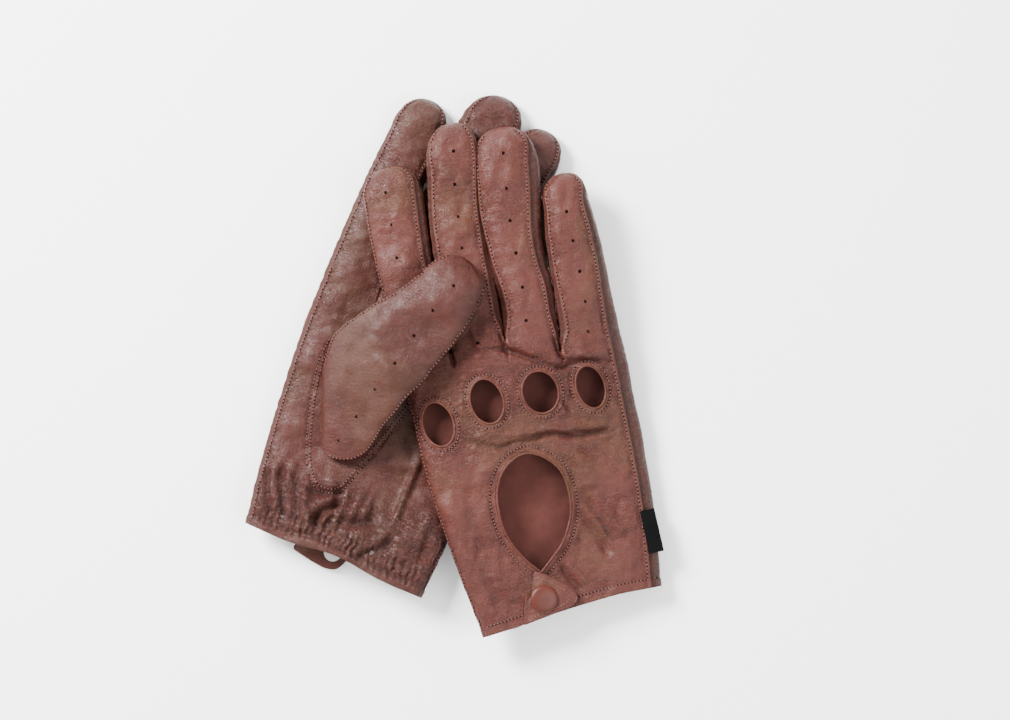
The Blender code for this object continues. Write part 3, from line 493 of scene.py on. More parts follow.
@dataclass(frozen=True)
class Paper:
    """The plain pale sheet that the gloves lie on."""

    name: str
    tint: tuple[float, float, float]

    def make(self) -> bpy.types.Material:
        """Builds the material."""
        shader = Shader(self.name)
        place = shader.node("ShaderNodeTexCoord", out="Object")
        tooth = shader.noise(place, 700.0, 3.0, 0.6)
        colour = shader.mix(tooth * 0.1, self.tint, tuple(0.97 * c for c in self.tint))
        shader.finish({"Base Color": colour, "Roughness": 0.8 + tooth * 0.1, "Specular IOR Level": 0.1})
        return shader.material


@dataclass
class Finishes:
    """Every material of the pair, made once."""

    back: bpy.types.Material = field(init=False)
    palm: bpy.types.Material = field(init=False)
    inside: bpy.types.Material = field(init=False)
    thread: bpy.types.Material = field(init=False)
    # painted shade for needle and punch holes
    needle: bpy.types.Material = field(init=False)
    enamel: bpy.types.Material = field(init=False)
    metal: bpy.types.Material = field(init=False)
    elastic: bpy.types.Material = field(init=False)
    tape: bpy.types.Material = field(init=False)
    paper: bpy.types.Material = field(init=False)

    def __post_init__(self) -> None:
        """Builds the materials."""
        # deep: the darkest brown, for darker patches of tone and for the painted shade
        deep = (0.0115, 0.0026, 0.0019)
        rosy, olive = (0.056, 0.0122, 0.008), (0.055, 0.0165, 0.0081)
        self.back = Leather("back_leather", rosy, olive, deep, 0.42).make()
        rosy, olive = (0.041, 0.0092, 0.0061), (0.039, 0.0116, 0.006)
        self.palm = Leather("palm_leather", rosy, olive, deep, 0.5).make()
        self.inside = Flesh("leather_flesh_side", (0.068, 0.0225, 0.0185)).make()
        self.thread = Thread("sewing_thread", (0.085, 0.0235, 0.0165)).make()
        self.needle = HoleShade("pierced_hole", (0.002, 0.0006, 0.0005)).make()
        self.enamel = Enamel("cap_enamel", (0.05, 0.0088, 0.0042)).make()
        self.metal = Plated("plated_metal", (0.5, 0.48, 0.45)).make()
        self.elastic = Woven("woven_elastic", (0.06, 0.045, 0.04), 0.8).make()
        self.tape = Woven("woven_label_tape", (0.0012, 0.0012, 0.0014), 0.4).make()
        self.paper = Paper("white_paper", (0.93, 0.93, 0.925)).make()


# ----------------------------------------------------------------------------- plan of a glove


@dataclass
class Finger:
    """A finger's outline in plan, and the angles at which its seams run round its sides.

    Each station is a point on its left and one on its right edge. An upper seam angle is how far
    above the middle of the side the upper piece ends, at the foot and at the tip of the finger.
    """

    name: str
    stations: tuple[tuple[float, float, float, float], ...]
    tip: Plan
    left_seam: tuple[float, float]
    right_seam: tuple[float, float]
    lower_left: tuple[float, float] = (-34.0, -20.0)
    lower_right: tuple[float, float] = (-34.0, -20.0)
    half_height: float = 6.1

    def rows(self, shares: Array) -> tuple[Array, Array, Array, Array]:
        """Centre, direction across, half width and a rounding factor for the height at each share."""
        table = np.array(self.stations)
        body = 1 - self.cap_share()
        inside = np.clip(shares / body, 0, 1)
        both = through(table, inside)
        left, right = both[:, :2], both[:, 2:]
        centre, half = (left + right) / 2, np.linalg.norm(right - left, axis=1) / 2
        across = (right - left) / (2 * half[:, None])
        past = np.clip((shares - body) / (1 - body), 0, 1)
        end = np.array(self.tip)
        centre = centre + (end - centre) * past[:, None] * (shares > body)[:, None]
        half = 0.5 + (half - 0.5) * np.sqrt(np.maximum(0, 1 - past**2.35))
        return centre, across, half, np.sqrt(np.maximum(0, 1 - past**2.9))

    def cap_share(self) -> float:
        """The share of the length that the rounded tip takes."""
        table = np.array(self.stations)
        centres = (table[:, :2] + table[:, 2:]) / 2
        run = np.linalg.norm(np.diff(centres, axis=0), axis=1).sum()
        cap = np.linalg.norm(np.array(self.tip) - centres[-1])
        return cap / (run + cap)

    def length(self) -> float:
        """Length from the foot to the tip."""
        table = np.array(self.stations)
        centres = (table[:, :2] + table[:, 2:]) / 2
        return np.linalg.norm(np.diff(centres, axis=0), axis=1).sum() / (1 - self.cap_share())

    def middle(self, share: float) -> Array:
        """The middle of the finger at a share of its length."""
        return self.rows(np.array([share]))[0][0]


@dataclass
class Fold:
    """A crease or a soft fold in the leather, along a line of the plan."""

    line: tuple[Plan, ...]
    depth: float
    width: float
    lip: float = 0.0  # height of the swelling beside it

    def relief(self, plan: Array) -> tuple[Array, Array]:
        """How far the leather is moved outwards by it, and how much painted shade lies along it."""
        line = evenly(through(np.array(self.line), np.linspace(0, 1, 8 * len(self.line))), 1.0)
        away, share = distance_to(plan, line)
        fade = smooth(share, 0.0, 0.25) * (1 - smooth(share, 0.75, 1.0))
        ahead = line[-1] - line[0]
        side = np.sign((plan - line[0]) @ np.array([-ahead[1], ahead[0]]))
        swell = self.lip * bump(away, 2.3 * self.width, 1.5 * self.width) * (0.6 + 0.4 * side)
        dip = self.depth * bump(away, 0.0, self.width)
        # painted shade along the crease
        dark = np.clip(self.depth, 0, 1) * bump(away, 0.0, 0.8 * self.width)
        return fade * (swell - dip), fade * dark


@dataclass
class Opening:
    """A hole in the leather with a rolled edge and a ring of stitches outside it."""

    outline: Array
    rim: float = 0.55
    stitch_margin: float = 2.3
    swell: float = 0.5

    def signed(self, plan: Array) -> tuple[Array, Array]:
        """Distance outside the outline (negative inside), and the nearest point on it."""
        ring = np.vstack([self.outline, self.outline[:1]])
        best = np.full(len(plan), 1e9)
        near = np.zeros_like(plan)
        turns = np.zeros(len(plan), bool)
        for a, b in zip(ring, ring[1:], strict=False):
            t = np.clip(((plan - a) @ (b - a)) / max(((b - a) ** 2).sum(), 1e-12), 0, 1)
            spot = a + t[:, None] * (b - a)
            away = np.linalg.norm(plan - spot, axis=1)
            nearer = away < best
            best[nearer], near[nearer] = away[nearer], spot[nearer]
            if a[1] != b[1]:
                crossed = (plan[:, 1] < a[1]) != (plan[:, 1] < b[1])
                turns ^= crossed & (plan[:, 0] < (b[0] - a[0]) * (plan[:, 1] - a[1]) / (b[1] - a[1]) + a[0])
        return np.where(turns, -best, best), near


def oval(centre: Plan, half_across: float, half_along: float, tilt: float, count: int = 56) -> Array:
    """An oval outline in the plan."""
    a = np.linspace(0, 2 * np.pi, count, endpoint=False)
    t = math.radians(tilt)
    x, y = half_across * np.cos(a), half_along * np.sin(a)
    turned = np.stack([x * math.cos(t) - y * math.sin(t), x * math.sin(t) + y * math.cos(t)], axis=1)
    return np.array(centre) + turned


@dataclass
class Ground:
    """Where a glove lies, and how high its underside is: the lower one lies flat, the upper one over it.

    The upper glove is high along the world line from foot to head, and comes down to the sheet on
    one side of that line within the width of its drape.
    """

    side: Side
    origin: Plan
    heading: float
    cuff_lift: float = 6.2
    cuff_slope: tuple[float, float] = (8.0, 44.0)
    over_lower: float = UPPER_GLOVE_RISE
    drape: float = 85.0
    foot: Plan = (-15.1, -108.8)
    head: Plan = (54.1, 82.4)

    def axes(self) -> Array:
        """The world directions of r and u, one row each."""
        t = math.radians(self.heading)
        return np.array([[math.cos(t), math.sin(t)], [-math.sin(t), math.cos(t)]])

    def world(self, plan: Array) -> Array:
        """World x and y of plan points, in millimetres."""
        return np.array(self.origin) + plan @ self.axes()

    def height(self, plan: Array) -> Array:
        """Height of the glove's underside over plan points."""
        if self.side is Side.LEFT:
            return self.cuff_lift * (1 - smooth(plan[:, 1], *self.cuff_slope))
        along = np.array(self.head) - np.array(self.foot)
        along = along / np.linalg.norm(along)
        beside = (self.world(plan) - np.array(self.foot)) @ np.array([along[1], -along[0]])
        return self.over_lower * (1 - smooth(beside, 0.0, self.drape))

    def place(self, plan: Array, above: Array) -> Array:
        """World points in millimetres, above the glove's underside."""
        return np.column_stack([self.world(plan), self.height(plan) + above])


# ----------------------------------------------------------------------------- skin


@dataclass
class Patch:
    """A grid of points that belongs to one or more leather pieces."""

    points: Array
    plan: Array
    seam: Array  # distance to the nearest sewn edge
    upper: Array  # 1 on the upper side, -1 on the lower side
    room: Array  # the leather may be this thick here
    tags: Array  # number of the piece of each face


def run_along(rows: Array) -> Array:
    """How far each point lies along its row of points."""
    steps = np.cumsum(np.linalg.norm(np.diff(rows, axis=1), axis=2), axis=1)
    return np.concatenate([np.zeros((len(rows), 1)), steps], axis=1)


def boxy(wave: Array) -> Array:
    """A sine or cosine, made fuller for a rounded box section."""
    return np.sign(wave) * np.abs(wave) ** ROUNDING


def ragged(faces: Array | list) -> list[list[int]]:
    """Faces as lists of corners, with a corner that is repeated next to itself kept once."""
    return [[c for k, c in enumerate(face) if c != face[k - 1]] for face in np.asarray(faces).tolist()]


class Skin:
    """The whole surface of a glove or thumb, welded from patches."""

    def __init__(self, patches: list[Patch]) -> None:
        """Welds patches that share their edge points."""
        points, faces, tags = [], [], []
        columns = {"plan": [], "seam": [], "upper": [], "room": []}
        start = 0
        self.grids = []
        for patch in patches:
            rows, cols = patch.points.shape[:2]
            index = np.arange(rows * cols).reshape(rows, cols) + start
            quads = np.stack([index[:-1, :-1], index[:-1, 1:], index[1:, 1:], index[1:, :-1]], axis=-1)
            faces.append(quads.reshape(-1, 4))
            tags.append(patch.tags.reshape(-1))
            points.append(patch.points.reshape(-1, 3))
            for key, found in columns.items():
                value = getattr(patch, key)
                found.append(value.reshape(rows * cols, -1))
            self.grids.append(index)
            start += rows * cols
        raw = np.vstack(points)
        _, first, where = np.unique(np.round(raw, 3), axis=0, return_index=True, return_inverse=True)
        where = where.reshape(-1)
        self.points = raw[first]
        self.plan = np.vstack(columns["plan"])[first]
        seam = np.full(len(first), 1e9)
        np.minimum.at(seam, where, np.vstack(columns["seam"])[:, 0])
        self.seam = seam
        self.upper = np.vstack(columns["upper"])[first][:, 0]
        self.room = np.vstack(columns["room"])[first][:, 0]
        self.faces = where[np.vstack(faces)]
        self.tags = np.concatenate(tags)
        ordered = np.sort(self.faces, axis=1)
        repeats = (ordered[:, 1:] == ordered[:, :-1]).sum(axis=1)
        opposite = (self.faces[:, 0] == self.faces[:, 2]) | (self.faces[:, 1] == self.faces[:, 3])
        sound = (repeats < 2) & ~opposite
        self.faces, self.tags = self.faces[sound], self.tags[sound]
        self.grids = [where[grid] for grid in self.grids]
        # painted shade, and wear with painted highlight, that the leather finish reads
        self.shade = np.zeros(len(self.points))
        self.worn = np.zeros(len(self.points))
        self.wrinkle = np.zeros(len(self.points))
        self.thick = np.ones(len(self.points))

    def normals(self) -> Array:
        """Outward normals at the points."""
        corner = self.points[self.faces]
        flat = np.cross(corner[:, 2] - corner[:, 0], corner[:, 3] - corner[:, 1])
        total = np.zeros_like(self.points)
        for k in range(4):
            np.add.at(total, self.faces[:, k], flat)
        return total / np.maximum(np.linalg.norm(total, axis=1), 1e-9)[:, None]

    def pierce(self, opening: Opening, tags: set[int], axes: Array) -> None:
        """Takes out the faces inside an opening and draws their neighbours on to its outline."""
        margin = 4.0
        lo, hi = opening.outline.min(0) - margin, opening.outline.max(0) + margin
        close = np.where(((self.plan > lo) & (self.plan < hi)).all(axis=1))[0]
        used = np.zeros(len(self.points), bool)
        mine = np.isin(self.tags, list(tags))
        used[self.faces[mine].reshape(-1)] = True
        close = close[used[close]]
        far, near = opening.signed(self.plan[close])
        inside = np.zeros(len(self.points), bool)
        inside[close[far < 0]] = True
        gone = mine & inside[self.faces].all(axis=1)
        self.faces, self.tags = self.faces[~gone], self.tags[~gone]
        shift = near - self.plan[close]
        kept = np.zeros(len(self.points), bool)
        kept[self.faces[np.isin(self.tags, list(tags))].reshape(-1)] = True
        moved = (far < 0) & kept[close]
        self.points[close[moved], :2] += shift[moved] @ axes
        self.plan[close[moved]] = near[moved]

    def tree(self, tags: set[int] | None = None) -> BVHTree:
        """A search tree of the faces of some pieces."""
        faces = self.faces if tags is None else self.faces[np.isin(self.tags, list(tags))]
        return BVHTree.FromPolygons(self.points.tolist(), ragged(faces))


@dataclass
class Builder:
    """Makes Blender objects from arrays in millimetres."""

    finishes: Finishes

    def mesh(self, name: str, points: Array, faces: list | Array, materials: list) -> bpy.types.Object:
        """A smooth mesh object."""
        mesh = bpy.data.meshes.new(name)
        mesh.from_pydata((np.asarray(points) * MM).tolist(), [], ragged(faces))
        for material in materials:
            mesh.materials.append(material)
        mesh.shade_smooth()
        obj = bpy.data.objects.new(name, mesh)
        bpy.context.scene.collection.objects.link(obj)
        return obj

    def shell(
        self, name: str, skin: Skin, normals: Array, tag: int, material: bpy.types.Material
    ) -> bpy.types.Object:
        """A closed leather piece cut from a skin.

        Args:
            name: The piece's name.
            skin: The finished skin.
            normals: Its normals.
            tag: The piece's number in the skin.
            material: The finish of its outer face.

        Returns:
            The object.
        """
        faces = skin.faces[skin.tags == tag]
        used, local = np.unique(faces, return_inverse=True)
        faces = local.reshape(-1, 4)
        count = len(used)
        outer = skin.points[used]
        inner = outer - normals[used] * np.minimum(skin.thick[used], skin.room[used])[:, None]
        edges = np.concatenate([faces[:, [k, (k + 1) % 4]] for k in range(4)])
        key = np.sort(edges, axis=1)
        _, where, times = np.unique(key, axis=0, return_inverse=True, return_counts=True)
        rim = edges[(times[where.reshape(-1)] == 1) & (edges[:, 0] != edges[:, 1])]
        walls = np.column_stack([rim[:, 1], rim[:, 0], rim[:, 0] + count, rim[:, 1] + count])
        every = np.vstack([faces, faces[:, ::-1] + count, walls])
        obj = self.mesh(name, np.vstack([outer, inner]), every, [material, self.finishes.inside])
        kind = np.zeros(len(every), np.int32)
        kind[len(faces) : 2 * len(faces)] = 1
        obj.data.polygons.foreach_set("material_index", kind)
        plan = np.column_stack([skin.plan[used], FACE_SHIFT * skin.upper[used]])
        self.carry(obj, "plan", np.vstack([plan, plan]))
        for key_name in ("shade", "worn", "wrinkle"):
            value = getattr(skin, key_name)[used]
            self.carry(obj, key_name, np.concatenate([value, value]))
        loops = np.zeros(len(obj.data.loops), np.int32)
        obj.data.loops.foreach_get("vertex_index", loops)
        given = np.vstack([normals[used], -normals[used]])[loops]
        starts = obj.data.polygons[2 * len(faces)].loop_start
        corner = np.vstack([outer, inner])[walls]
        flat = np.cross(corner[:, 1] - corner[:, 0], corner[:, 3] - corner[:, 0])
        flat /= np.maximum(np.linalg.norm(flat, axis=1), 1e-9)[:, None]
        given[starts:] = np.repeat(flat, 4, axis=0)
        obj.data.normals_split_custom_set(given)
        return obj

    def carry(self, obj: bpy.types.Object, name: str, values: Array) -> None:
        """Stores values on the mesh's points for its material."""
        single = values.ndim == 1
        attribute = obj.data.attributes.new(name, "FLOAT" if single else "FLOAT_VECTOR", "POINT")
        attribute.data.foreach_set("value" if single else "vector", values.astype(np.float32).ravel())

    def plain(self, obj: bpy.types.Object, plan: Array) -> None:
        """Gives a small leather piece the values that the leather finish reads."""
        count = len(obj.data.vertices)
        self.carry(obj, "plan", np.asarray(plan, float))
        # a faint even painted shade, and wear with painted highlight
        for name in ("shade", "worn", "wrinkle"):
            self.carry(obj, name, np.full(count, 0.3 if name == "wrinkle" else 0.05))

    def stitches(self, name: str, spots: list[Spot], long: float = STITCH_LENGTH) -> bpy.types.Object:
        """Many small stitches as one mesh.

        Args:
            name: The object's name.
            spots: For each stitch its middle, direction and the surface's normal.
            long: Length of a stitch.

        Returns:
            The object.
        """
        ring = np.linspace(0, 2 * np.pi, 7)[:-1]
        along = np.array([-1.0, -0.82, -0.35, 0.35, 0.82, 1.0]) * long / 2
        wide = np.array([0.02, 0.17, 0.25, 0.25, 0.17, 0.02])
        sunk = np.array([-0.2, -0.02, 0.12, 0.12, -0.02, -0.2])
        middle = np.array([s[0] for s in spots])
        ahead = np.array([s[1] for s in spots])
        up = np.array([s[2] for s in spots])
        ahead /= np.maximum(np.linalg.norm(ahead, axis=1), 1e-9)[:, None]
        across = np.cross(up, ahead)
        across /= np.maximum(np.linalg.norm(across, axis=1), 1e-9)[:, None]
        points = (
            middle[:, None, None]
            + ahead[:, None, None] * along[None, :, None, None]
            + across[:, None, None] * (wide[:, None] * np.cos(ring))[None, :, :, None]
            + up[:, None, None] * (sunk[:, None] + wide[:, None] * np.sin(ring))[None, :, :, None]
        )
        n, m, r = len(spots), len(along), len(ring)
        index = np.arange(n * m * r).reshape(n, m, r)
        turned = np.roll(index, -1, axis=2)
        quads = np.stack([index[:, :-1], turned[:, :-1], turned[:, 1:], index[:, 1:]], axis=-1).reshape(-1, 4)
        return self.mesh(name, points.reshape(-1, 3), quads, [self.finishes.thread])

    def pricks(self, name: str, spots: list[Spot], radius: float) -> bpy.types.Object:
        """Small discs of painted shade on the leather, for the holes of a needle or a punch."""
        ring = np.linspace(0, 2 * np.pi, 11)[:-1]
        reach = np.array([1.0, 0.9, 0.45, 0.02]) * radius
        lift = np.array([0.0, 0.06, 0.05, 0.04])
        points, faces = [], []
        for middle, ahead, up in spots:
            ahead = ahead / max(np.linalg.norm(ahead), 1e-9)
            across = np.cross(up, ahead)
            start = sum(len(p) for p in points)
            circle = np.cos(ring)[:, None] * ahead + np.sin(ring)[:, None] * across
            rows = [middle + reach[k] * circle + lift[k] * up for k in range(len(reach))]
            rows.insert(0, rows[0] - 0.3 * up)
            points.append(np.vstack(rows))
            r = len(ring)
            for k in range(len(rows) - 1):
                for j in range(r):
                    a, b = start + k * r + j, start + k * r + (j + 1) % r
                    faces.append([a, b, b + r, a + r])
        return self.mesh(name, np.vstack(points), faces, [self.finishes.needle])

    def cord(self, path: Array, radius: float, sides: int) -> tuple[Array, Array]:
        """Points and faces of a round cord along a closed path."""
        ahead = np.roll(path, -1, axis=0) - np.roll(path, 1, axis=0)
        ahead /= np.maximum(np.linalg.norm(ahead, axis=1), 1e-9)[:, None]
        up = np.array([0.0, 0.0, 1.0])
        across = np.cross(ahead, up)
        across /= np.maximum(np.linalg.norm(across, axis=1), 1e-9)[:, None]
        over = np.cross(across, ahead)
        a = np.linspace(0, 2 * np.pi, sides, endpoint=False)
        circle = np.cos(a)[:, None] * across[:, None] + np.sin(a)[:, None] * over[:, None]
        points = path[:, None] + radius * circle
        base = np.arange(len(path) * sides).reshape(len(path), sides)
        following = np.roll(base, -1, axis=0)
        quads = np.stack([base, np.roll(base, -1, 1), np.roll(following, -1, 1), following], axis=-1)
        return points.reshape(-1, 3), quads.reshape(-1, 4)


# ----------------------------------------------------------------------------- glove


def section_angles(start: Array, end: Array, count: int) -> Array:
    """Angles from start to end for each row, spread so that the points lie evenly round a flat tube."""
    guide = np.radians(np.linspace(0, 360, 721))
    wide, tall = SECTION_HALVES
    x, z = wide * boxy(np.cos(guide)), tall * boxy(np.sin(guide))
    far = np.concatenate([[0.0], np.cumsum(np.hypot(np.diff(x), np.diff(z)))])
    turns = np.linspace(-360, 360, 1441)
    table = np.interp(np.radians(turns % 360), guide, far) + np.where(turns < 0, -far[-1], 0.0)
    table[-1] = far[-1]
    first, last = np.interp(start, turns, table), np.interp(end, turns, table)
    share = np.linspace(0, 1, count + 1)
    return np.interp(first[:, None] + (last - first)[:, None] * share, table, turns)


class Band(Enum):
    """Which part of the way round a finger a patch covers."""

    TOP = "top"
    LOW = "low"
    LEFT_STRIP = "left strip"
    RIGHT_STRIP = "right strip"


@dataclass
class GlovePlan:
    """The plan of one glove, its outline, openings and folds."""

    side: Side
    ground: Ground
    back_up: bool
    fingers: tuple[Finger, ...]
    left_edge: tuple[Plan, ...]
    right_edge: tuple[Plan, ...]
    cuff: tuple[Plan, ...]
    thumb: Finger
    folds: tuple[Fold, ...]
    finger_cuts: dict[str, float]
    height: float = GLOVE_HEIGHT
    crotch_valley: float = 0.1

    def finger_grid(
        self, index: int, shares: Array, start: Array, end: Array, count: int, band: Band
    ) -> Patch:
        """A patch round part of a finger, from one seam angle to another.

        Args:
            index: The finger's place, counted from the index finger.
            shares: The shares of its length at which the rows lie.
            start: The angle at which each row starts.
            end: The angle at which each row ends.
            count: How many faces a row has.
            band: The part of the way round. At the foot it says which edges meet the next finger.

        Returns:
            The patch.
        """
        finger = self.fingers[index]
        centre, across, half, rounded = finger.rows(shares)
        tall = finger.half_height * rounded
        tall = self.height / 2 + (tall - self.height / 2) * smooth(shares, 0, 0.2)
        turn = np.radians(section_angles(start, end, count))
        x, z = half[:, None] * boxy(np.cos(turn)), tall[:, None] * boxy(np.sin(turn))
        close = (1 - smooth(shares, 0.0, 0.1))[:, None]
        across_share = np.linspace(0, 1, count + 1)
        if band in (Band.LEFT_STRIP, Band.RIGHT_STRIP):
            left = np.full(count + 1, float(band is Band.LEFT_STRIP))
            right = 1.0 - left
        else:
            left, right = np.clip(1 - 3 * across_share, 0, 1), np.clip(3 * across_share - 2, 0, 1)
            if band is Band.LOW:
                left, right = right, left
        left = left * (index > 0)
        right = right * (index < len(self.fingers) - 1)
        x = x * (1 - (left + right) * close) + half[:, None] * (right - left) * close
        plan = centre[:, None] + across[:, None] * x[..., None]
        flat = plan.reshape(-1, 2)
        level = 0.8 * tall[:, None] + 0.1 * self.height
        points = self.ground.place(flat, (level + z).reshape(-1)).reshape(*x.shape, 3)
        run = run_along(points)
        seam = np.minimum(run, run[:, -1:] - run)
        room = np.repeat(np.maximum(0.7 * tall, 0.05)[:, None], count + 1, axis=1)
        return Patch(points, plan, seam, np.sign(z + 1e-6), room, np.zeros((len(shares) - 1, count), int))

    def seam_angles(self, index: int, shares: Array) -> dict[str, Array]:
        """The four seam angles of a finger along its length."""
        finger = self.fingers[index]
        fade = smooth(shares, 0.0, 0.5)
        flat = 1 - 0.75 * smooth(shares, 0.8, 1.0)
        found = {}
        for key in ("left_seam", "right_seam", "lower_left", "lower_right"):
            low, high = getattr(finger, key)
            found[key] = (low + (high - low) * fade) * flat
            inner = index > 0 if "left" in key else index < len(self.fingers) - 1
            if inner:
                shared = 34.0 if key.endswith("seam") else -34.0
                found[key] = shared + (found[key] - shared) * smooth(shares, 0.0, 0.12)
        return found

    def panels(self) -> tuple[list[Patch], dict[str, int]]:
        """Every patch of the hand and fingers, and the number of each leather piece."""
        numbers = {"back": 0, "palm": 1}
        patches: list[Patch] = []
        tops: list[tuple[Patch, Patch]] = []
        upper_name, lower_name = ("back", "palm") if self.back_up else ("palm", "back")
        last = len(self.fingers) - 1
        for index, finger in enumerate(self.fingers):
            shares = np.linspace(0, 1, int(finger.length() / 0.95))
            shares = 1 - (1 - shares) ** 1.12
            seams = self.seam_angles(index, shares)
            lower_left = seams["left_seam"] if index == 0 else seams["lower_left"]
            lower_right = seams["right_seam"] if index == last else seams["lower_right"]
            left, right = 180 - seams["left_seam"], seams["right_seam"]
            top = self.finger_grid(index, shares, left, right, UPPER_COLUMNS, Band.TOP)
            low = self.finger_grid(index, shares, lower_right, -180 - lower_left, LOWER_COLUMNS, Band.LOW)
            for way, patch in ((upper_name, top), (lower_name, low)):
                name = f"{finger.name}_{way}" if finger.name in self.finger_cuts else way
                number = numbers.setdefault(name, len(numbers))
                patch.tags[:] = number
            patches += [top, low]
            tops.append((top, low))
            if index < last:
                start, end = seams["right_seam"], seams["lower_right"]
                side = self.finger_grid(index, shares, start, end, STRIP_COLUMNS, Band.RIGHT_STRIP)
                side.tags[:] = numbers.setdefault(f"{finger.name}_little_side_strip", len(numbers))
                patches.append(side)
            if index > 0:
                start, end = -180 - seams["lower_left"], -180 - seams["left_seam"]
                side = self.finger_grid(index, shares, start, end, STRIP_COLUMNS, Band.LEFT_STRIP)
                side.tags[:] = numbers.setdefault(f"{finger.name}_index_side_strip", len(numbers))
                patches.append(side)
        patches.append(self.hand([top for top, _ in tops], True, numbers[upper_name]))
        patches.append(self.hand([low for _, low in tops][::-1], False, numbers[lower_name]))
        return patches, numbers

    def hand(self, feet: list[Patch], upper: bool, number: int) -> Patch:
        """The upper or lower face of the hand, from the cuff to the feet of the fingers."""
        plan_row = np.vstack([foot.plan[0][(1 if k else 0) :] for k, foot in enumerate(feet)])
        rise_row = np.concatenate(
            [
                (foot.points[0][:, 2] - self.ground.height(foot.plan[0]))[(1 if k else 0) :]
                for k, foot in enumerate(feet)
            ]
        )
        left, right = np.array(self.left_edge), np.array(self.right_edge)
        first, last = self.fingers[0].stations[0], self.fingers[-1].stations[0]
        head_left, head_right = np.array(first[:2]), np.array(last[2:])
        width = np.linalg.norm(head_right - head_left)
        a = (plan_row[:, 0] - head_left[0]) / (head_right[0] - head_left[0])
        t = np.linspace(0, 1, HAND_ROWS + 1)
        t = 1 - (1 - t) ** 1.05
        low = through(np.array(self.cuff), np.clip(a, 0, 1))
        corner_low = np.array(self.cuff[0]) + (np.array(self.cuff[-1]) - np.array(self.cuff[0])) * a[:, None]
        low = np.column_stack([corner_low[:, 0], low[:, 1]])
        lerp = low[None] + (plan_row - low)[None] * t[:, None, None]
        bow_left = through(left, t) - (left[0] + (head_left - left[0]) * t[:, None])
        bow_right = through(right, t) - (right[0] + (head_right - right[0]) * t[:, None])
        plan = lerp + bow_left[:, None] * (1 - a)[None, :, None] + bow_right[:, None] * a[None, :, None]
        half = self.height / 2
        edge = np.minimum(a, 1 - a) * width
        sign = 1.0 if upper else -1.0
        outer = edge < 13.0
        profile = np.where(outer, rise_row - half, sign * half)
        valley = smooth(t, 1 - self.crotch_valley, 1.0)[:, None]
        crowned = (0.9 if self.back_up else 0.3) * float(upper)
        crown = crowned * smooth(edge, 8.0, 34.0) * (1 - valley)
        rise = profile[None] * (1 - valley) + (rise_row - half)[None] * valley + crown
        flat = plan.reshape(-1, 2)
        points = self.ground.place(flat, (half + rise).reshape(-1)).reshape(*plan.shape[:2], 3)
        points[-1] = np.vstack([foot.points[0][(1 if k else 0) :] for k, foot in enumerate(feet)])
        plan[-1] = plan_row
        run = run_along(points)
        seam = np.minimum(run, run[:, -1:] - run)
        shape = plan.shape[:2]
        tags = np.full((shape[0] - 1, shape[1] - 1), number)
        return Patch(points, plan, seam, np.sign(rise + 1e-6), np.full(shape, 5.0), tags)


@dataclass
class SeamRow:
    """A row of stitches along a seam, on one patch of the skin."""

    grid: Array
    inset: float
    from_start: bool

    def path(self, points: Array) -> Array:
        """The middle line of the row, at its inset from the first or last column of the grid."""
        rows = points[self.grid if self.from_start else self.grid[:, ::-1]]
        found = []
        for line, far in zip(rows, run_along(rows), strict=True):
            found.append([np.interp(self.inset, far, line[:, k]) for k in range(3)])
        return np.array(found)


# The seam by which a thumb is sewn into its palm.
THUMB_HOLE: tuple[Plan, ...] = (
    (-36.6, 98.8), (-38.0, 88.0), (-36.5, 73.1), (-33.6, 58.6), (-30.5, 46.7), (-26.9, 37.7), (-20.5, 29.6),
    (-12.5, 28.7), (-6.2, 33.0), (-1.5, 44.9), (4.6, 61.4), (8.4, 73.0), (11.5, 81.9),
)

# The small punched holes down the middle of each finger's back.
VENTS: dict[str, tuple[Plan, ...]] = {
    "index": ((-41.7, 218.4), (-42.4, 202.5), (-43.6, 186.3)),
    "middle": (
        (-5.4, 230.5), (-8.5, 214.7), (-10.6, 199.2), (-12.1, 184.0), (-13.4, 168.6), (-14.2, 153.0),
        (-14.8, 137.6),
    ),
    "ring": ((17.7, 224.2), (15.3, 207.2), (13.7, 191.6), (13.0, 175.7), (12.2, 158.9), (10.4, 142.8)),
    "little": ((41.3, 189.7), (41.0, 175.3), (41.0, 160.2), (40.1, 145.4), (38.2, 130.9)),
}

LEFT_THUMB_VENTS: tuple[Plan, ...] = (
    (12.2, 143.0), (6.8, 128.7), (2.0, 114.2), (-2.5, 98.7), (-7.2, 83.7), (-11.6, 68.2),
    (-16.1, 54.3), (-19.5, 42.2),
)

THUMB_FOLDS: dict[Side, tuple[Fold, ...]] = {
    Side.LEFT: (
        Fold(((-25.8, 97.4), (-21.9, 75.5), (-16.2, 54.3)), -0.7, 4.0),
        Fold(((-13.0, 127.6), (-18.9, 110.1), (-24.6, 96.8)), 0.5, 2.2, 0.3),
        Fold(((-2.0, 60.0), (-8.0, 66.0), (-10.0, 80.0)), 0.5, 2.5, 0.3),
        Fold(((12.0, 96.0), (6.0, 104.0), (2.0, 118.0)), 0.4, 2.5, 0.3),
    ),
    Side.RIGHT: (),
}


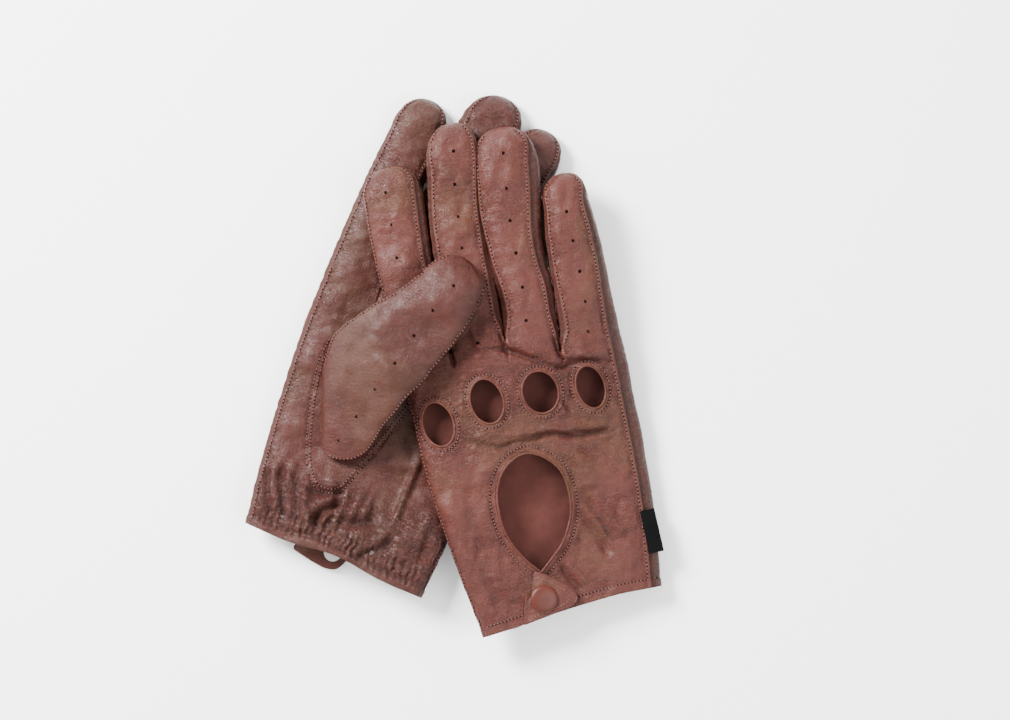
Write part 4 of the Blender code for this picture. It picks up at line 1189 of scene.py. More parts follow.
@dataclass
class Glove:
    """One glove: its skin, the leather pieces cut from it and its stitches."""

    plan: GlovePlan
    builder: Builder
    openings: list[tuple[Opening, str]] = field(default_factory=list)
    pieces: dict[str, bpy.types.Object] = field(default_factory=dict)

    @property
    def name(self) -> str:
        """The glove's name."""
        return self.plan.side.value

    def relief(self, skin: Skin, back: Array) -> Array:
        """How far each point of the skin stands out from the plain shape, in millimetres.

        Args:
            skin: The skin, whose painted shade, wear with painted highlight, and wrinkles are filled in as
                well.
            back: True for the points of the back of the hand.

        Returns:
            The heights.
        """
        plan, seam = skin.plan, skin.seam
        seed = 11 if self.plan.back_up else 23
        flat = plan + 31.0 * skin.upper[:, None]
        calm = smooth(skin.room, 0.5, 3.5)
        calm_edge = (0.22 + 0.78 * smooth(seam, 0.5, 10.0)) * (0.15 + 0.85 * np.abs(skin.normals()[:, 2]))
        swells, ripples = waves(seed, 46.0, 15.0)(flat), waves(seed + 1, 13.0, 4.5, 40)(flat)
        out = 0.55 * calm * calm_edge * swells + 0.17 * calm * calm_edge * ripples
        tall = bump(seam, 1.1, 0.9) * 0.36 - bump(seam, 0.0, 0.5) * 0.6 - bump(seam, 2.6, 0.9) * 0.26
        pucker = waves(seed + 2, 7.0, 3.4, 40)(flat) * bump(seam, 2.6, 2.2) * 0.13
        out += (tall + pucker) * calm
        # painted shade in the seam's groove and along the row of stitches
        skin.shade += 0.85 * bump(seam, 0.0, 0.42) + 0.22 * bump(seam, 2.4, 0.7)
        # wear and painted highlight on the raised bead beside the seam
        skin.worn += 0.55 * bump(seam, 1.2, 0.6)
        tired = smooth(waves(seed + 3, 60.0, 18.0)(flat), 0.0, 1.2)
        skin.wrinkle += 0.25 + 0.35 * tired + 0.3 * bump(seam, 3.0, 2.0)
        for fold in self.plan.folds:
            lift, dark = fold.relief(plan)
            out += 1.6 * lift * (skin.upper > 0)
            # painted shade in the folds
            skin.shade += 0.5 * dark * (skin.upper > 0)
            skin.wrinkle += 0.5 * np.clip(np.abs(lift), 0.0, 1.0) * (skin.upper > 0)
        out += self.cuff_relief(skin, back)
        out += self.knuckle_relief(skin)
        out -= self.creases(skin, flat, calm)
        if self.plan.back_up:
            under = smooth(-skin.normals()[:, 2], 0.15, 0.7)
            out = out * (1 - under) + under * (0.3 * np.minimum(out, 0.0) - 0.7)
        return out

    def creases(self, skin: Skin, flat: Array, calm: Array) -> Array:
        """A net of fine creases where the leather works most: the knuckles, the tips and the cuff.

        Args:
            skin: The skin, whose painted shade and wrinkles are added to.
            flat: Where the nets' patterns are read, one place for each point.
            calm: 0 where the leather is too thin for relief, 1 where it isn't.

        Returns:
            The depths, in millimetres.
        """
        u, seed = skin.plan[:, 1], 61 if self.plan.back_up else 67
        where = 0.25 * smooth(waves(seed, 70.0, 25.0)(flat), 0.1, 1.3)
        where += 0.85 * bump(u, 112.0, 24.0) * (skin.plan[:, 0] > -60) * (1.0 if self.plan.back_up else 0.4)
        where += 0.45 * smooth(u, 185.0, 225.0)
        where += (0.25 if self.plan.back_up else 0.7) * bump(u, 22.0, 16.0)
        long_net = bump(waves(seed + 1, 34.0, 9.0)(flat * np.array([0.7, 1.4])), 0.0, 0.16)
        short_net = bump(waves(seed + 2, 17.0, 6.0)(flat * np.array([0.8, 1.2])), 0.0, 0.3)
        mesh = np.clip(where, 0, 1) * calm * smooth(skin.seam, *CREASE_FADE)
        # painted shade along the creases of the net
        skin.shade += 0.3 * mesh * np.maximum(long_net, 0.6 * short_net)
        skin.wrinkle += 0.4 * mesh
        return mesh * (0.5 * long_net + 0.26 * short_net)

    def cuff_relief(self, skin: Skin, back: Array) -> Array:
        """The hem along the cuff, and on the palm the gathers of the elastic.

        Args:
            skin: The skin, whose thickness, painted shade, wear with painted highlight, and wrinkles are
                added to.
            back: True for the points of the back of the hand.

        Returns:
            The heights, in millimetres.
        """
        plan, palm = skin.plan, ~back
        cuff = through(np.array(self.plan.cuff), np.linspace(0, 1, 60))
        rise = plan[:, 1] - np.interp(plan[:, 0], cuff[:, 0], cuff[:, 1])
        hem = 0.35 * (1 - smooth(rise, 3.2, 4.6)) - 0.3 * bump(rise, 4.4, 0.6)
        skin.thick += 0.9 * (1 - smooth(rise, 3.6, 4.8))
        # painted shade in the hem's groove, at the cuff edge and on the palm's lowest 3 mm
        skin.shade += 0.4 * bump(rise, 4.4, 0.5) + 0.25 * bump(rise, 0.0, 0.5)
        skin.shade += 0.35 * palm * (1 - smooth(rise, 0.5, 3.0))
        # wear and painted highlight along the hem's lower edge
        skin.worn += 0.5 * bump(rise, 0.7, 0.6)
        span = smooth(plan[:, 0], -44.0, -36.0) * (1 - smooth(plan[:, 0], 38.0, 46.0))
        wander = waves(5, 40.0, 9.0)(plan)
        ripple = np.sin(2 * np.pi * (plan[:, 0] + 0.8 * wander) / 3.1 + 0.9 * np.sin(rise * 1.1))
        zigzag = np.sin(2 * np.pi * (plan[:, 0] / 2.4 + np.abs((rise / 3.4) % 2 - 1) * 0.9))
        band = smooth(rise, 2.2, 4.5) * (1 - smooth(rise, 12.5, 15.5))
        low_row, high_row = ELASTIC_ROWS
        grooves = bump(rise, low_row, 1.0) + bump(rise, high_row, 1.0)
        gathered = band * (0.52 * ripple + 0.28 * zigzag) - 0.7 * band * grooves
        long_fold = np.sin(2 * np.pi * (plan[:, 0] + 2.2 * waves(6, 60.0, 20.0)(plan)) / 8.3)
        above = smooth(rise, 10.0, 15.0) * (1 - smooth(rise, 20.0, 48.0))
        swell = above * 0.75 * long_fold * (1 - 0.5 * smooth(plan[:, 0], 10.0, 30.0))
        # painted shade in the troughs of the gathers and in the elastic's sewn grooves
        dark = 0.25 * (ripple < -0.2) + 0.3 * bump(rise, low_row, 0.7) + 0.3 * bump(rise, high_row, 0.7)
        skin.shade += palm * span * band * dark
        # wear and painted highlight on the crests of the gathers
        skin.worn += palm * span * band * 0.5 * (ripple > 0.55)
        skin.wrinkle += palm * 0.6 * (band + above)
        return hem + palm * span * (gathered + swell)

    def knuckle_relief(self, skin: Skin) -> Array:
        """The swelling and fine wrinkles of the back round its openings, with painted shade and painted
        highlights.
        """
        total = np.zeros(len(skin.plan))
        side = 1.0 if self.plan.back_up else -1.0
        mine = skin.upper == side
        margin = 12.0
        for opening, _ in self.openings:
            lo, hi = opening.outline.min(0) - margin, opening.outline.max(0) + margin
            close = np.where(mine & ((skin.plan > lo) & (skin.plan < hi)).all(axis=1))[0]
            far, _ = opening.signed(skin.plan[close])
            ring = opening.swell * bump(far, 1.0, 1.1) - 0.28 * bump(far, opening.stitch_margin, 0.6)
            total[close] += ring + 0.3 * opening.swell * bump(far, opening.stitch_margin + 1.8, 1.4)
            # painted shade in the stitch groove and at the hole's edge
            skin.shade[close] += 0.3 * bump(far, opening.stitch_margin, 0.55) + 0.25 * bump(far, 0.0, 0.5)
            # wear and painted highlight on the swelling round the hole
            skin.worn[close] += 0.7 * bump(far, 1.0, 0.6)
            skin.wrinkle[close] += 0.5 * bump(far, 3.0, 3.0)
        return total

    def build(self, replaced: dict[str, list[str]], nodes: set[str]) -> Skin:
        """Builds every leather piece of the hand and fingers.

        Args:
            replaced: The frame's nodes that a piece stands in for, where its name alone doesn't say.
            nodes: Every node of the frame.

        Returns:
            The finished skin.
        """
        patches, numbers = self.plan.panels()
        skin = Skin(patches)
        axes = self.plan.ground.axes()
        back = np.zeros(len(skin.points), bool)
        for name, number in numbers.items():
            if name == "back" or name.endswith("_back"):
                back[skin.faces[skin.tags == number].reshape(-1)] = True
        skin.points += skin.normals() * self.relief(skin, back)[:, None]
        skin.points[:, 2] = np.maximum(skin.points[:, 2], FLOOR_GAP)
        skin.shade, skin.worn = np.clip(skin.shade, 0, 1), np.clip(skin.worn, 0, 1)
        skin.wrinkle = np.clip(skin.wrinkle, 0, 1.3)
        normals = skin.normals()
        for opening, target in self.openings:
            skin.pierce(opening, {numbers[target]}, axes)
        finishes = self.builder.finishes
        for name, number in numbers.items():
            material = finishes.back if name == "back" or name.endswith("_back") else finishes.palm
            full = f"{self.name}_{name}_panel" if name in ("back", "palm") else f"{self.name}_{name}"
            obj = self.builder.shell(f"{full}_leather", skin, normals, number, material)
            self.pieces[name] = obj
            self.attach(obj, name)
            for node in replaced.get(full, [full]):
                if node in nodes:
                    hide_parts(node)
            LOG.info("%s: %d faces", obj.name, len(obj.data.polygons))
        self.sew(skin)
        return skin

    def attach(self, obj: bpy.types.Object, name: str) -> None:
        """Makes a piece move with the hand; a piece of a cut finger only has its place baked into its mesh.
        """
        hand = f"{self.name}_hand"
        finger = next((f for f in self.plan.fingers if name.startswith(f.name)), None)
        if finger is None or finger.name not in self.plan.finger_cuts:
            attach(obj, hand)
            return
        share = self.plan.finger_cuts[finger.name]
        reach = 9.0 / finger.length()
        level = np.array([self.plan.height / 2])
        ends = [finger.middle(share - reach), finger.middle(share + reach)]
        start, end = (self.plan.ground.place(p[None], level)[0] * MM for p in ends)
        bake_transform(obj)

    def spots(self, path: Array, pitch: float, tree: BVHTree, closed: bool = False) -> list[Spot]:
        """Stitch places along a path, laid on the skin."""
        line = evenly(path, pitch, closed)
        ahead = np.roll(line, -1, axis=0) - line if closed else np.gradient(line, axis=0)
        found = []
        for place, way in zip(line, ahead, strict=True):
            hit, normal, _, far = tree.find_nearest(Vector(place))
            if hit is None or far > 3.0:
                continue
            found.append((np.array(hit), way, np.array(normal)))
        return found

    def needle_holes(self, name: str, found: list[Spot]) -> bpy.types.Object:
        """Discs of painted shade for the needle's hole beyond the end of each stitch."""
        ahead = [w / max(np.linalg.norm(w), 1e-9) * STITCH_TO_HOLE for _, w, _ in found]
        holes = [(p + a, w, n) for (p, w, n), a in zip(found, ahead, strict=True)]
        return self.builder.pricks(name, holes, NEEDLE_RADIUS)

    def punched_holes(self, name: str, places: tuple[Plan, ...], tree: BVHTree) -> bpy.types.Object:
        """Round holes punched in the upper face, at places of the plan, drawn as discs of painted shade."""
        spots = []
        for place in self.on_skin(np.array(places), tree):
            hit, normal, _, _ = tree.find_nearest(Vector(place))
            spots.append((np.array(hit), np.array([1.0, 0.2, 0.0]), np.array(normal)))
        return self.builder.pricks(name, spots, PUNCH_RADIUS)

    def on_skin(self, flat: Array, tree: BVHTree, up: bool = True) -> Array:
        """Plan points dropped on to the upper (or lifted to the lower) face of the skin."""
        world = self.plan.ground.world(flat)
        found = []
        for x, y in world:
            start = Vector((x, y, 90.0 if up else -40.0))
            hit = tree.ray_cast(start, Vector((0, 0, -1.0 if up else 1.0)))
            if hit[0] is not None:
                found.append(np.array(hit[0]))
        return np.array(found)

    def sew(self, skin: Skin) -> None:
        """Stitches along the fingers' seams and round the openings, one object for each body."""
        tree = skin.tree()
        last = len(self.plan.fingers) - 1
        by_body: dict[str, list[Spot]] = {}
        grid_at = 0
        for index, finger in enumerate(self.plan.fingers):
            top = skin.grids[grid_at]
            grid_at += 2 + int(index < last) + int(index > 0)
            moving = finger.name in self.plan.finger_cuts
            for from_start in (True, False):
                path = SeamRow(top, SEAM_INSET, from_start).path(skin.points)[4:-6]
                found = self.spots(path, STITCH_PITCH, tree)
                by_body.setdefault(finger.name if moving else "hand", []).extend(found)
        hand_top = skin.grids[-2]
        for from_start in (True, False):
            path = SeamRow(hand_top, SEAM_INSET, from_start).path(skin.points)[4:]
            by_body.setdefault("hand", []).extend(self.spots(path, STITCH_PITCH, tree))
        for opening, _ in self.openings:
            ring = offset_outline(opening.outline, opening.stitch_margin)
            path = self.on_skin(ring, tree, self.plan.back_up)
            by_body["hand"].extend(self.spots(path, 1.7, tree, closed=True))
            edge = self.on_skin(offset_outline(opening.outline, 1.1), tree, self.plan.back_up)
            self.rim(opening, edge)
        if not self.plan.back_up:
            for margin in (0.0, 1.9):
                ring = through(np.array(THUMB_HOLE), np.linspace(0, 1, 200))
                way = np.gradient(ring, axis=0)
                way /= np.linalg.norm(way, axis=1)[:, None]
                path = self.on_skin(ring + margin * np.stack([-way[:, 1], way[:, 0]], axis=1), tree)
                by_body["hand"].extend(self.spots(path, 1.75, tree))
        if self.plan.back_up:
            cuff = through(np.array(self.plan.cuff), np.linspace(0.03, 0.97, 80))
            path = self.on_skin(cuff + np.array([0.0, 4.4]), tree)
            by_body["hand"].extend(self.spots(path, 1.8, tree))
        for name, found in by_body.items():
            stitched = self.builder.stitches(f"{self.name}_{name}_stitches", found)
            self.attach(stitched, name)
            pierced = self.needle_holes(f"{self.name}_{name}_needle_holes", found)
            self.attach(pierced, name)
        for name, places in VENTS.items() if self.plan.back_up else ():
            vent = self.punched_holes(f"{self.name}_{name}_vent_holes", places, tree)
            self.attach(vent, name)
        LOG.info("%s glove sewn", self.name)

    def rim(self, opening: Opening, edge: Array) -> None:
        """The rolled edge of an opening, a soft cord of leather."""
        rng = np.random.default_rng(len(edge))
        outline = evenly(opening.outline, 1.0, closed=True)
        flat = self.plan.ground.world(outline)
        away = np.linalg.norm(flat[:, None] - edge[None, :, :2], axis=2)
        level = edge[away.argmin(axis=1), 2]
        level = np.mean([np.roll(level, k) for k in range(-4, 5)], axis=0)
        path = np.column_stack([flat, level])
        lift = 0.12 if self.plan.back_up else -0.1
        path[:, 2] += lift + 0.08 * np.sin(np.cumsum(rng.normal(0.6, 0.2, len(path))))
        points, faces = self.builder.cord(path, opening.rim, 10)
        points[:, 2] = np.maximum(points[:, 2], 0.05)
        index = sum(1 for name in self.pieces if name.startswith("rolled_edge"))
        name = f"{self.name}_rolled_edge_{index}"
        obj = self.builder.mesh(name, points, faces, [self.builder.finishes.back])
        world = points[:, :2] - np.array(self.plan.ground.origin)
        plan = world @ self.plan.ground.axes().T
        self.builder.plain(obj, np.column_stack([plan, np.full(len(plan), FACE_SHIFT)]))
        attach(obj, f"{self.name}_hand")
        if index in (0, len(self.openings) - 1):
            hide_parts(f"{self.name}_{'opening' if index else 'knuckle'}_facing")
        self.pieces[f"rolled_edge_{index}"] = obj


def offset_outline(outline: Array, margin: float) -> Array:
    """A closed outline moved outwards."""
    ahead = np.roll(outline, -1, axis=0) - np.roll(outline, 1, axis=0)
    ahead /= np.maximum(np.linalg.norm(ahead, axis=1), 1e-9)[:, None]
    out = np.stack([ahead[:, 1], -ahead[:, 0]], axis=1)
    centre = outline.mean(axis=0)
    if ((outline + out - centre) ** 2).sum() < ((outline - centre) ** 2).sum():
        out = -out
    return outline + margin * out


@dataclass
class Thumb:
    """A thumb: a flat tube that is sewn into the palm and lies to one side."""

    glove: Glove
    thumb: Finger
    base_half: float  # half its height at its root
    lift: Callable[[Array], Array]  # its height above the glove's underside
    vent_line: tuple[Plan, ...] = ()

    def build(self) -> None:
        """Builds the two pieces of the thumb and their stitches."""
        side = self.glove.name
        ground, builder = self.glove.plan.ground, self.glove.builder
        thumb = self.thumb
        shares = np.linspace(0, 1, int(thumb.length() / 1.0))
        shares = 1 - (1 - shares) ** 1.12
        centre, across, half, rounded = thumb.rows(shares)
        root = np.clip(shares / 0.2, 0, 1)
        half = half * (0.6 + 0.4 * np.sqrt(1 - (1 - root) ** 2))
        swell = np.sqrt(1 - (1 - np.clip(shares / 0.26, 0, 1)) ** 2)
        tall = (self.base_half + (thumb.half_height - self.base_half) * swell) * rounded
        sink = 1.3 * (1 - smooth(shares, 0.0, 0.1))[:, None]
        patches = []
        for start, end, count, tag in ((180.0, 0.0, 44, 0), (0.0, -180.0, 32, 1)):
            turn = np.radians(section_angles(np.full(len(shares), start), np.full(len(shares), end), count))
            x, z = half[:, None] * boxy(np.cos(turn)), tall[:, None] * boxy(np.sin(turn))
            plan = centre[:, None] + across[:, None] * x[..., None]
            flat = plan.reshape(-1, 2)
            above = self.lift(flat) + (0.85 * tall[:, None] + 0.15 * thumb.half_height + z - sink).reshape(-1)
            points = ground.place(flat, above).reshape(*x.shape, 3)
            run = run_along(points)
            seam = np.minimum(run, run[:, -1:] - run)
            room = np.repeat(np.maximum(0.7 * tall, 0.05)[:, None], count + 1, axis=1)
            tags = np.full((len(shares) - 1, count), tag)
            patches.append(Patch(points, plan, seam, np.sign(z + 1e-6), room, tags))
        skin = Skin(patches)
        skin.points += skin.normals() * self.relief(skin)[:, None]
        skin.points[:, 2] = np.maximum(skin.points[:, 2], FLOOR_GAP)
        skin.shade, skin.worn = np.clip(skin.shade, 0, 1), np.clip(skin.worn, 0, 1)
        skin.wrinkle = np.clip(skin.wrinkle, 0, 1.2)
        normals = skin.normals()
        reach = (thumb.middle(0.03), thumb.middle(0.24))
        ends = [ground.place(p[None], self.lift(p[None]) + 2.0)[0] * MM for p in reach]
        back_up = self.glove.plan.back_up
        for tag, kind in ((0, "palm" if back_up else "back"), (1, "back" if back_up else "palm")):
            obj = builder.shell(f"{side}_thumb_{kind}_leather", skin, normals, tag, builder.finishes.palm)
            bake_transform(obj)
            "palm_leather" if kind == "palm" else "back_leather"
            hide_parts(f"{side}_thumb_{kind}")
        tree = skin.tree({0})
        found = []
        for from_start in (True, False):
            path = SeamRow(skin.grids[0], 2.2, from_start).path(skin.points)[3:-8]
            found += self.glove.spots(path, STITCH_PITCH, tree)
        sewn = builder.stitches(f"{side}_thumb_stitches", found)
        pierced = self.glove.needle_holes(f"{side}_thumb_needle_holes", found)
        made = [(sewn, "palm_leather"), (pierced, "leather_inside")]
        if self.vent_line:
            vents = self.glove.punched_holes(f"{side}_thumb_vent_holes", self.vent_line, tree)
            made.append((vents, "leather_inside"))
        for obj, slot in made:
            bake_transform(obj)
        LOG.info("%s thumb built", side)

    def relief(self, skin: Skin) -> Array:
        """Seams, soft folds and unevenness of the thumb, with painted shade and painted highlights."""
        plan, seam = skin.plan, skin.seam
        calm = smooth(skin.room, 0.5, 2.5)
        flat = plan + 17.0 * skin.upper[:, None]
        out = 0.6 * calm * waves(41, 52.0, 16.0)(flat) + 0.14 * calm * waves(42, 12.0, 5.0, 40)(flat)
        net = bump(waves(44, 30.0, 8.0)(flat * np.array([0.8, 1.3])), 0.0, 0.17)
        zone = np.clip(waves(45, 60.0, 22.0)(flat), 0, 1) * calm * smooth(seam, *CREASE_FADE)
        out -= 0.4 * zone * net
        # painted shade along the creases
        skin.shade += 0.25 * zone * net
        out += calm * (0.3 * bump(seam, 1.2, 0.9) - 0.5 * bump(seam, 0.0, 0.5) - 0.14 * bump(seam, 2.6, 0.8))
        # painted shade in the seam's groove and along the stitches
        skin.shade += 0.85 * bump(seam, 0.0, 0.4) + 0.2 * bump(seam, 2.4, 0.7)
        # wear and painted highlight on the seam bead
        skin.worn += 0.55 * bump(seam, 1.2, 0.6)
        skin.wrinkle += 0.3 + 0.3 * smooth(waves(43, 50.0, 18.0)(flat), 0.0, 1.2)
        for fold in THUMB_FOLDS[self.glove.plan.side]:
            lift, dark = fold.relief(plan)
            out += lift * (skin.upper > 0)
            # painted shade in the folds
            skin.shade += 0.4 * dark * (skin.upper > 0)
        return out


@dataclass
class Strap:
    """The closing strap with its snap cap."""

    glove: Glove
    outline: tuple[Plan, ...]
    hinge: tuple[Plan, Plan]
    snap: Plan
    rise: float = 2.65
    thick: float = 1.35

    def build(self) -> None:
        """Builds the strap, its stitches and the cap on it."""
        side = self.glove.name
        ground, builder = self.glove.plan.ground, self.glove.builder
        line = evenly(np.array(self.outline, float), 0.7, closed=True)
        line = np.array([line[(np.arange(-3, 4) + i) % len(line)].mean(axis=0) for i in range(len(line))])
        centre = line.mean(axis=0)
        steps = np.linspace(0, 1, 15) ** 0.85
        rings = centre + (line - centre)[None] * steps[:, None, None]
        plan = rings.reshape(-1, 2)
        a, b = (np.array(p) for p in self.hinge)
        square = np.array([(b - a)[1], -(b - a)[0]]) / np.linalg.norm(b - a)
        past = (plan - a) @ square
        climb = self.rise * smooth(past, -1.0, 7.0) - 0.5 * (1 - smooth(past, 0.5, 3.0))
        inner = np.repeat(steps, len(line))
        edge = (1 - inner) * np.linalg.norm(line - centre, axis=1).mean()
        face = self.glove.plan.height + 0.75 if self.glove.plan.back_up else 0.0
        way = 1.0 if self.glove.plan.back_up else -1.0
        round_off = 0.55 * bump(edge, 0.0, 0.8) + 0.2 * bump(edge, 2.2, 0.5)
        soft = 0.12 * waves(71, 14.0, 4.0)(plan)
        top = ground.place(plan, face + way * (climb + self.thick - round_off + soft))
        low = ground.place(plan, face + way * (climb + 0.25 * bump(edge, 0.0, 0.6)))
        n, m = rings.shape[:2]
        index = np.arange(n * m).reshape(n, m)
        turned = np.roll(index, -1, axis=1)
        quads = np.stack([index[:-1], turned[:-1], turned[1:], index[1:]], axis=-1).reshape(-1, 4)
        if not self.glove.plan.back_up:
            quads = quads[:, ::-1]
        edge_low, edge_next = index[-1], turned[-1]
        walls = np.stack([edge_low, edge_next, edge_next + n * m, edge_low + n * m], axis=-1)
        walls = walls[:, ::-1] if self.glove.plan.back_up else walls
        faces = np.vstack([quads, quads[:, ::-1] + n * m, walls])
        name = f"{side}_closing_strap_leather"
        obj = builder.mesh(name, np.vstack([top, low]), faces, [builder.finishes.back])
        builder.plain(obj, np.tile(np.column_stack([plan, np.full(len(plan), FACE_SHIFT)]), (2, 1)))
        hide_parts(f"{side}_closing_strap")
        middle = (a + b) / 2
        bend = ground.place(np.vstack([middle - square * 1.5, middle + square * 6.0]), np.full(2, face))
        tree = BVHTree.FromPolygons(top.tolist(), quads.tolist())
        ring = centre + (line - centre) * 0.74
        path = self.glove.on_skin(ring, tree, self.glove.plan.back_up)
        found = self.glove.spots(path, 1.7, tree, closed=True)
        found = [s for s in found if self.beyond(s[0], a, square) > 2.0]
        sewn = builder.stitches(f"{side}_strap_stitches", found, 1.15)
        for piece in (obj, sewn):
            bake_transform(piece)
        self.cap(way)
        LOG.info("%s strap built, %d stitches", side, len(found))

    def beyond(self, place: Array, a: Array, square: Array) -> float:
        """How far a world place lies past the hinge line."""
        ground = self.glove.plan.ground
        flat = ground.axes() @ (place[:2] - np.array(ground.origin))
        return float((flat - a) @ square)

    def cap(self, way: float) -> None:
        """The domed cap with its rolled edge, square to the glove under it.

        Args:
            way: 1 for a cap that faces up, -1 for one that faces down.
        """
        side = self.glove.name
        low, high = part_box(f"{side}_snap_cap")
        middle = np.array((low + high) / 2) / MM
        ground = self.glove.plan.ground
        flat = np.array([self.snap])
        step = 2.0
        moves = (np.array([[step, 0.0]]), np.array([[0.0, step]]))
        slope = [float(ground.height(flat + move)[0] - ground.height(flat)[0]) / step for move in moves]
        axes = ground.axes()
        up = np.array([*(-(slope[0] * axes[0] + slope[1] * axes[1])), 1.0])
        up = way * up / np.linalg.norm(up)
        across = np.cross(up, [0.0, 1.0, 0.0])
        across /= np.linalg.norm(across)
        along = np.cross(up, across)
        profile = (
            (0.0, 1.25), (1.5, 1.24), (3.0, 1.18), (4.2, 1.08), (5.1, 0.9), (5.75, 0.62), (6.2, 0.25),
            (6.45, -0.15), (6.5, -0.5), (6.4, -0.85), (6.1, -1.05), (5.5, -1.1), (3.0, -1.05), (0.0, -1.05),
        )
        turn = np.linspace(0, 2 * np.pi, 65)[:-1]
        points, faces = [], []
        for radius, level in profile:
            ring = np.cos(turn)[:, None] * across + np.sin(turn)[:, None] * along
            points.append(middle + 1.06 * max(radius, 0.01) * ring + level * up)
        count = len(turn)
        for k in range(len(profile) - 1):
            for j in range(count):
                a, b = k * count + j, k * count + (j + 1) % count
                faces.append([a, a + count, b + count, b])
        builder = self.glove.builder
        obj = builder.mesh(f"{side}_snap_cap_dome", np.vstack(points), faces, [builder.finishes.enamel])
        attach(obj, f"{side}_strap")
        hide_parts(f"{side}_snap_cap")


@dataclass
class Label:
    """The plain folded tape in the little-finger seam."""

    glove: Glove

    def build(self) -> None:
        """Builds the tape round the edge of the glove."""
        builder = self.glove.builder
        low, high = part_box("right_side_label")
        ground = self.glove.plan.ground
        middle = np.array((low + high) / 2) / MM
        flat = ground.axes() @ (middle[:2] - np.array(ground.origin))
        u = np.linspace(-10.6, 10.6, 30)
        v = np.linspace(-3.6, 3.6, 14)
        grid_u, grid_v = np.meshgrid(u, v, indexing="ij")
        bend = 0.25 * np.sin(grid_u * 0.35) - 0.12 * (grid_v + 3.6) ** 1.4
        plan = np.stack([flat[0] + grid_v, flat[1] + grid_u], axis=-1).reshape(-1, 2)
        above = self.glove.plan.height + 1.0 + bend.reshape(-1)
        top, under = ground.place(plan, above), ground.place(plan, above - 0.75)
        n, m = grid_u.shape
        index = np.arange(n * m).reshape(n, m)
        quads = np.stack([index[:-1, :-1], index[1:, :-1], index[1:, 1:], index[:-1, 1:]], axis=-1)
        quads = quads.reshape(-1, 4)[:, ::-1]
        edge = np.concatenate([index[0], index[1:, -1], index[-1, -2::-1], index[-2:0:-1, 0]])
        following = np.roll(edge, -1)
        walls = np.stack([edge, following, following + n * m, edge + n * m], axis=-1)
        faces = np.vstack([quads, quads[:, ::-1] + n * m, walls])
        obj = builder.mesh("right_side_label_tape", np.vstack([top, under]), faces, [builder.finishes.tape])
        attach(obj, "right_hand")
        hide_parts("right_side_label")
        LOG.info("label built")


# ----------------------------------------------------------------------------- the pair


def teardrop(shift: float = 0.0) -> Array:
    """The drop-shaped opening in the back: round at the top and drawn to a point at the strap."""
    line = (
        (-22.1, 64.7), (-23.3, 50.9), (-21.2, 40.4), (-16.0, 30.2), (-9.9, 22.3), (-3.1, 27.8), (4.0, 34.6),
        (10.1, 45.7), (11.9, 55.5), (11.4, 64.8), (8.9, 71.0), (3.7, 76.7), (-3.0, 80.1), (-9.7, 79.3),
        (-16.8, 74.5),
    )
    points = np.array(line) + np.array([0.0, shift])
    ring = np.vstack([points[4:], points[:5]])
    return evenly(through(ring, np.linspace(0, 1, 400)), 1.9)[:-1]


def knuckle_openings() -> list[tuple[Opening, str]]:
    """The four oval holes over the knuckles."""
    sizes = (
        (-42.3, 103.4, 7.5, 11.0),
        (-16.9, 109.0, 8.0, 11.1),
        (9.3, 107.5, 8.8, 10.4),
        (33.6, 104.4, 7.0, 10.6),
    )
    return [(Opening(oval((r, u), a, b, 4.0)), "back") for r, u, a, b in sizes]


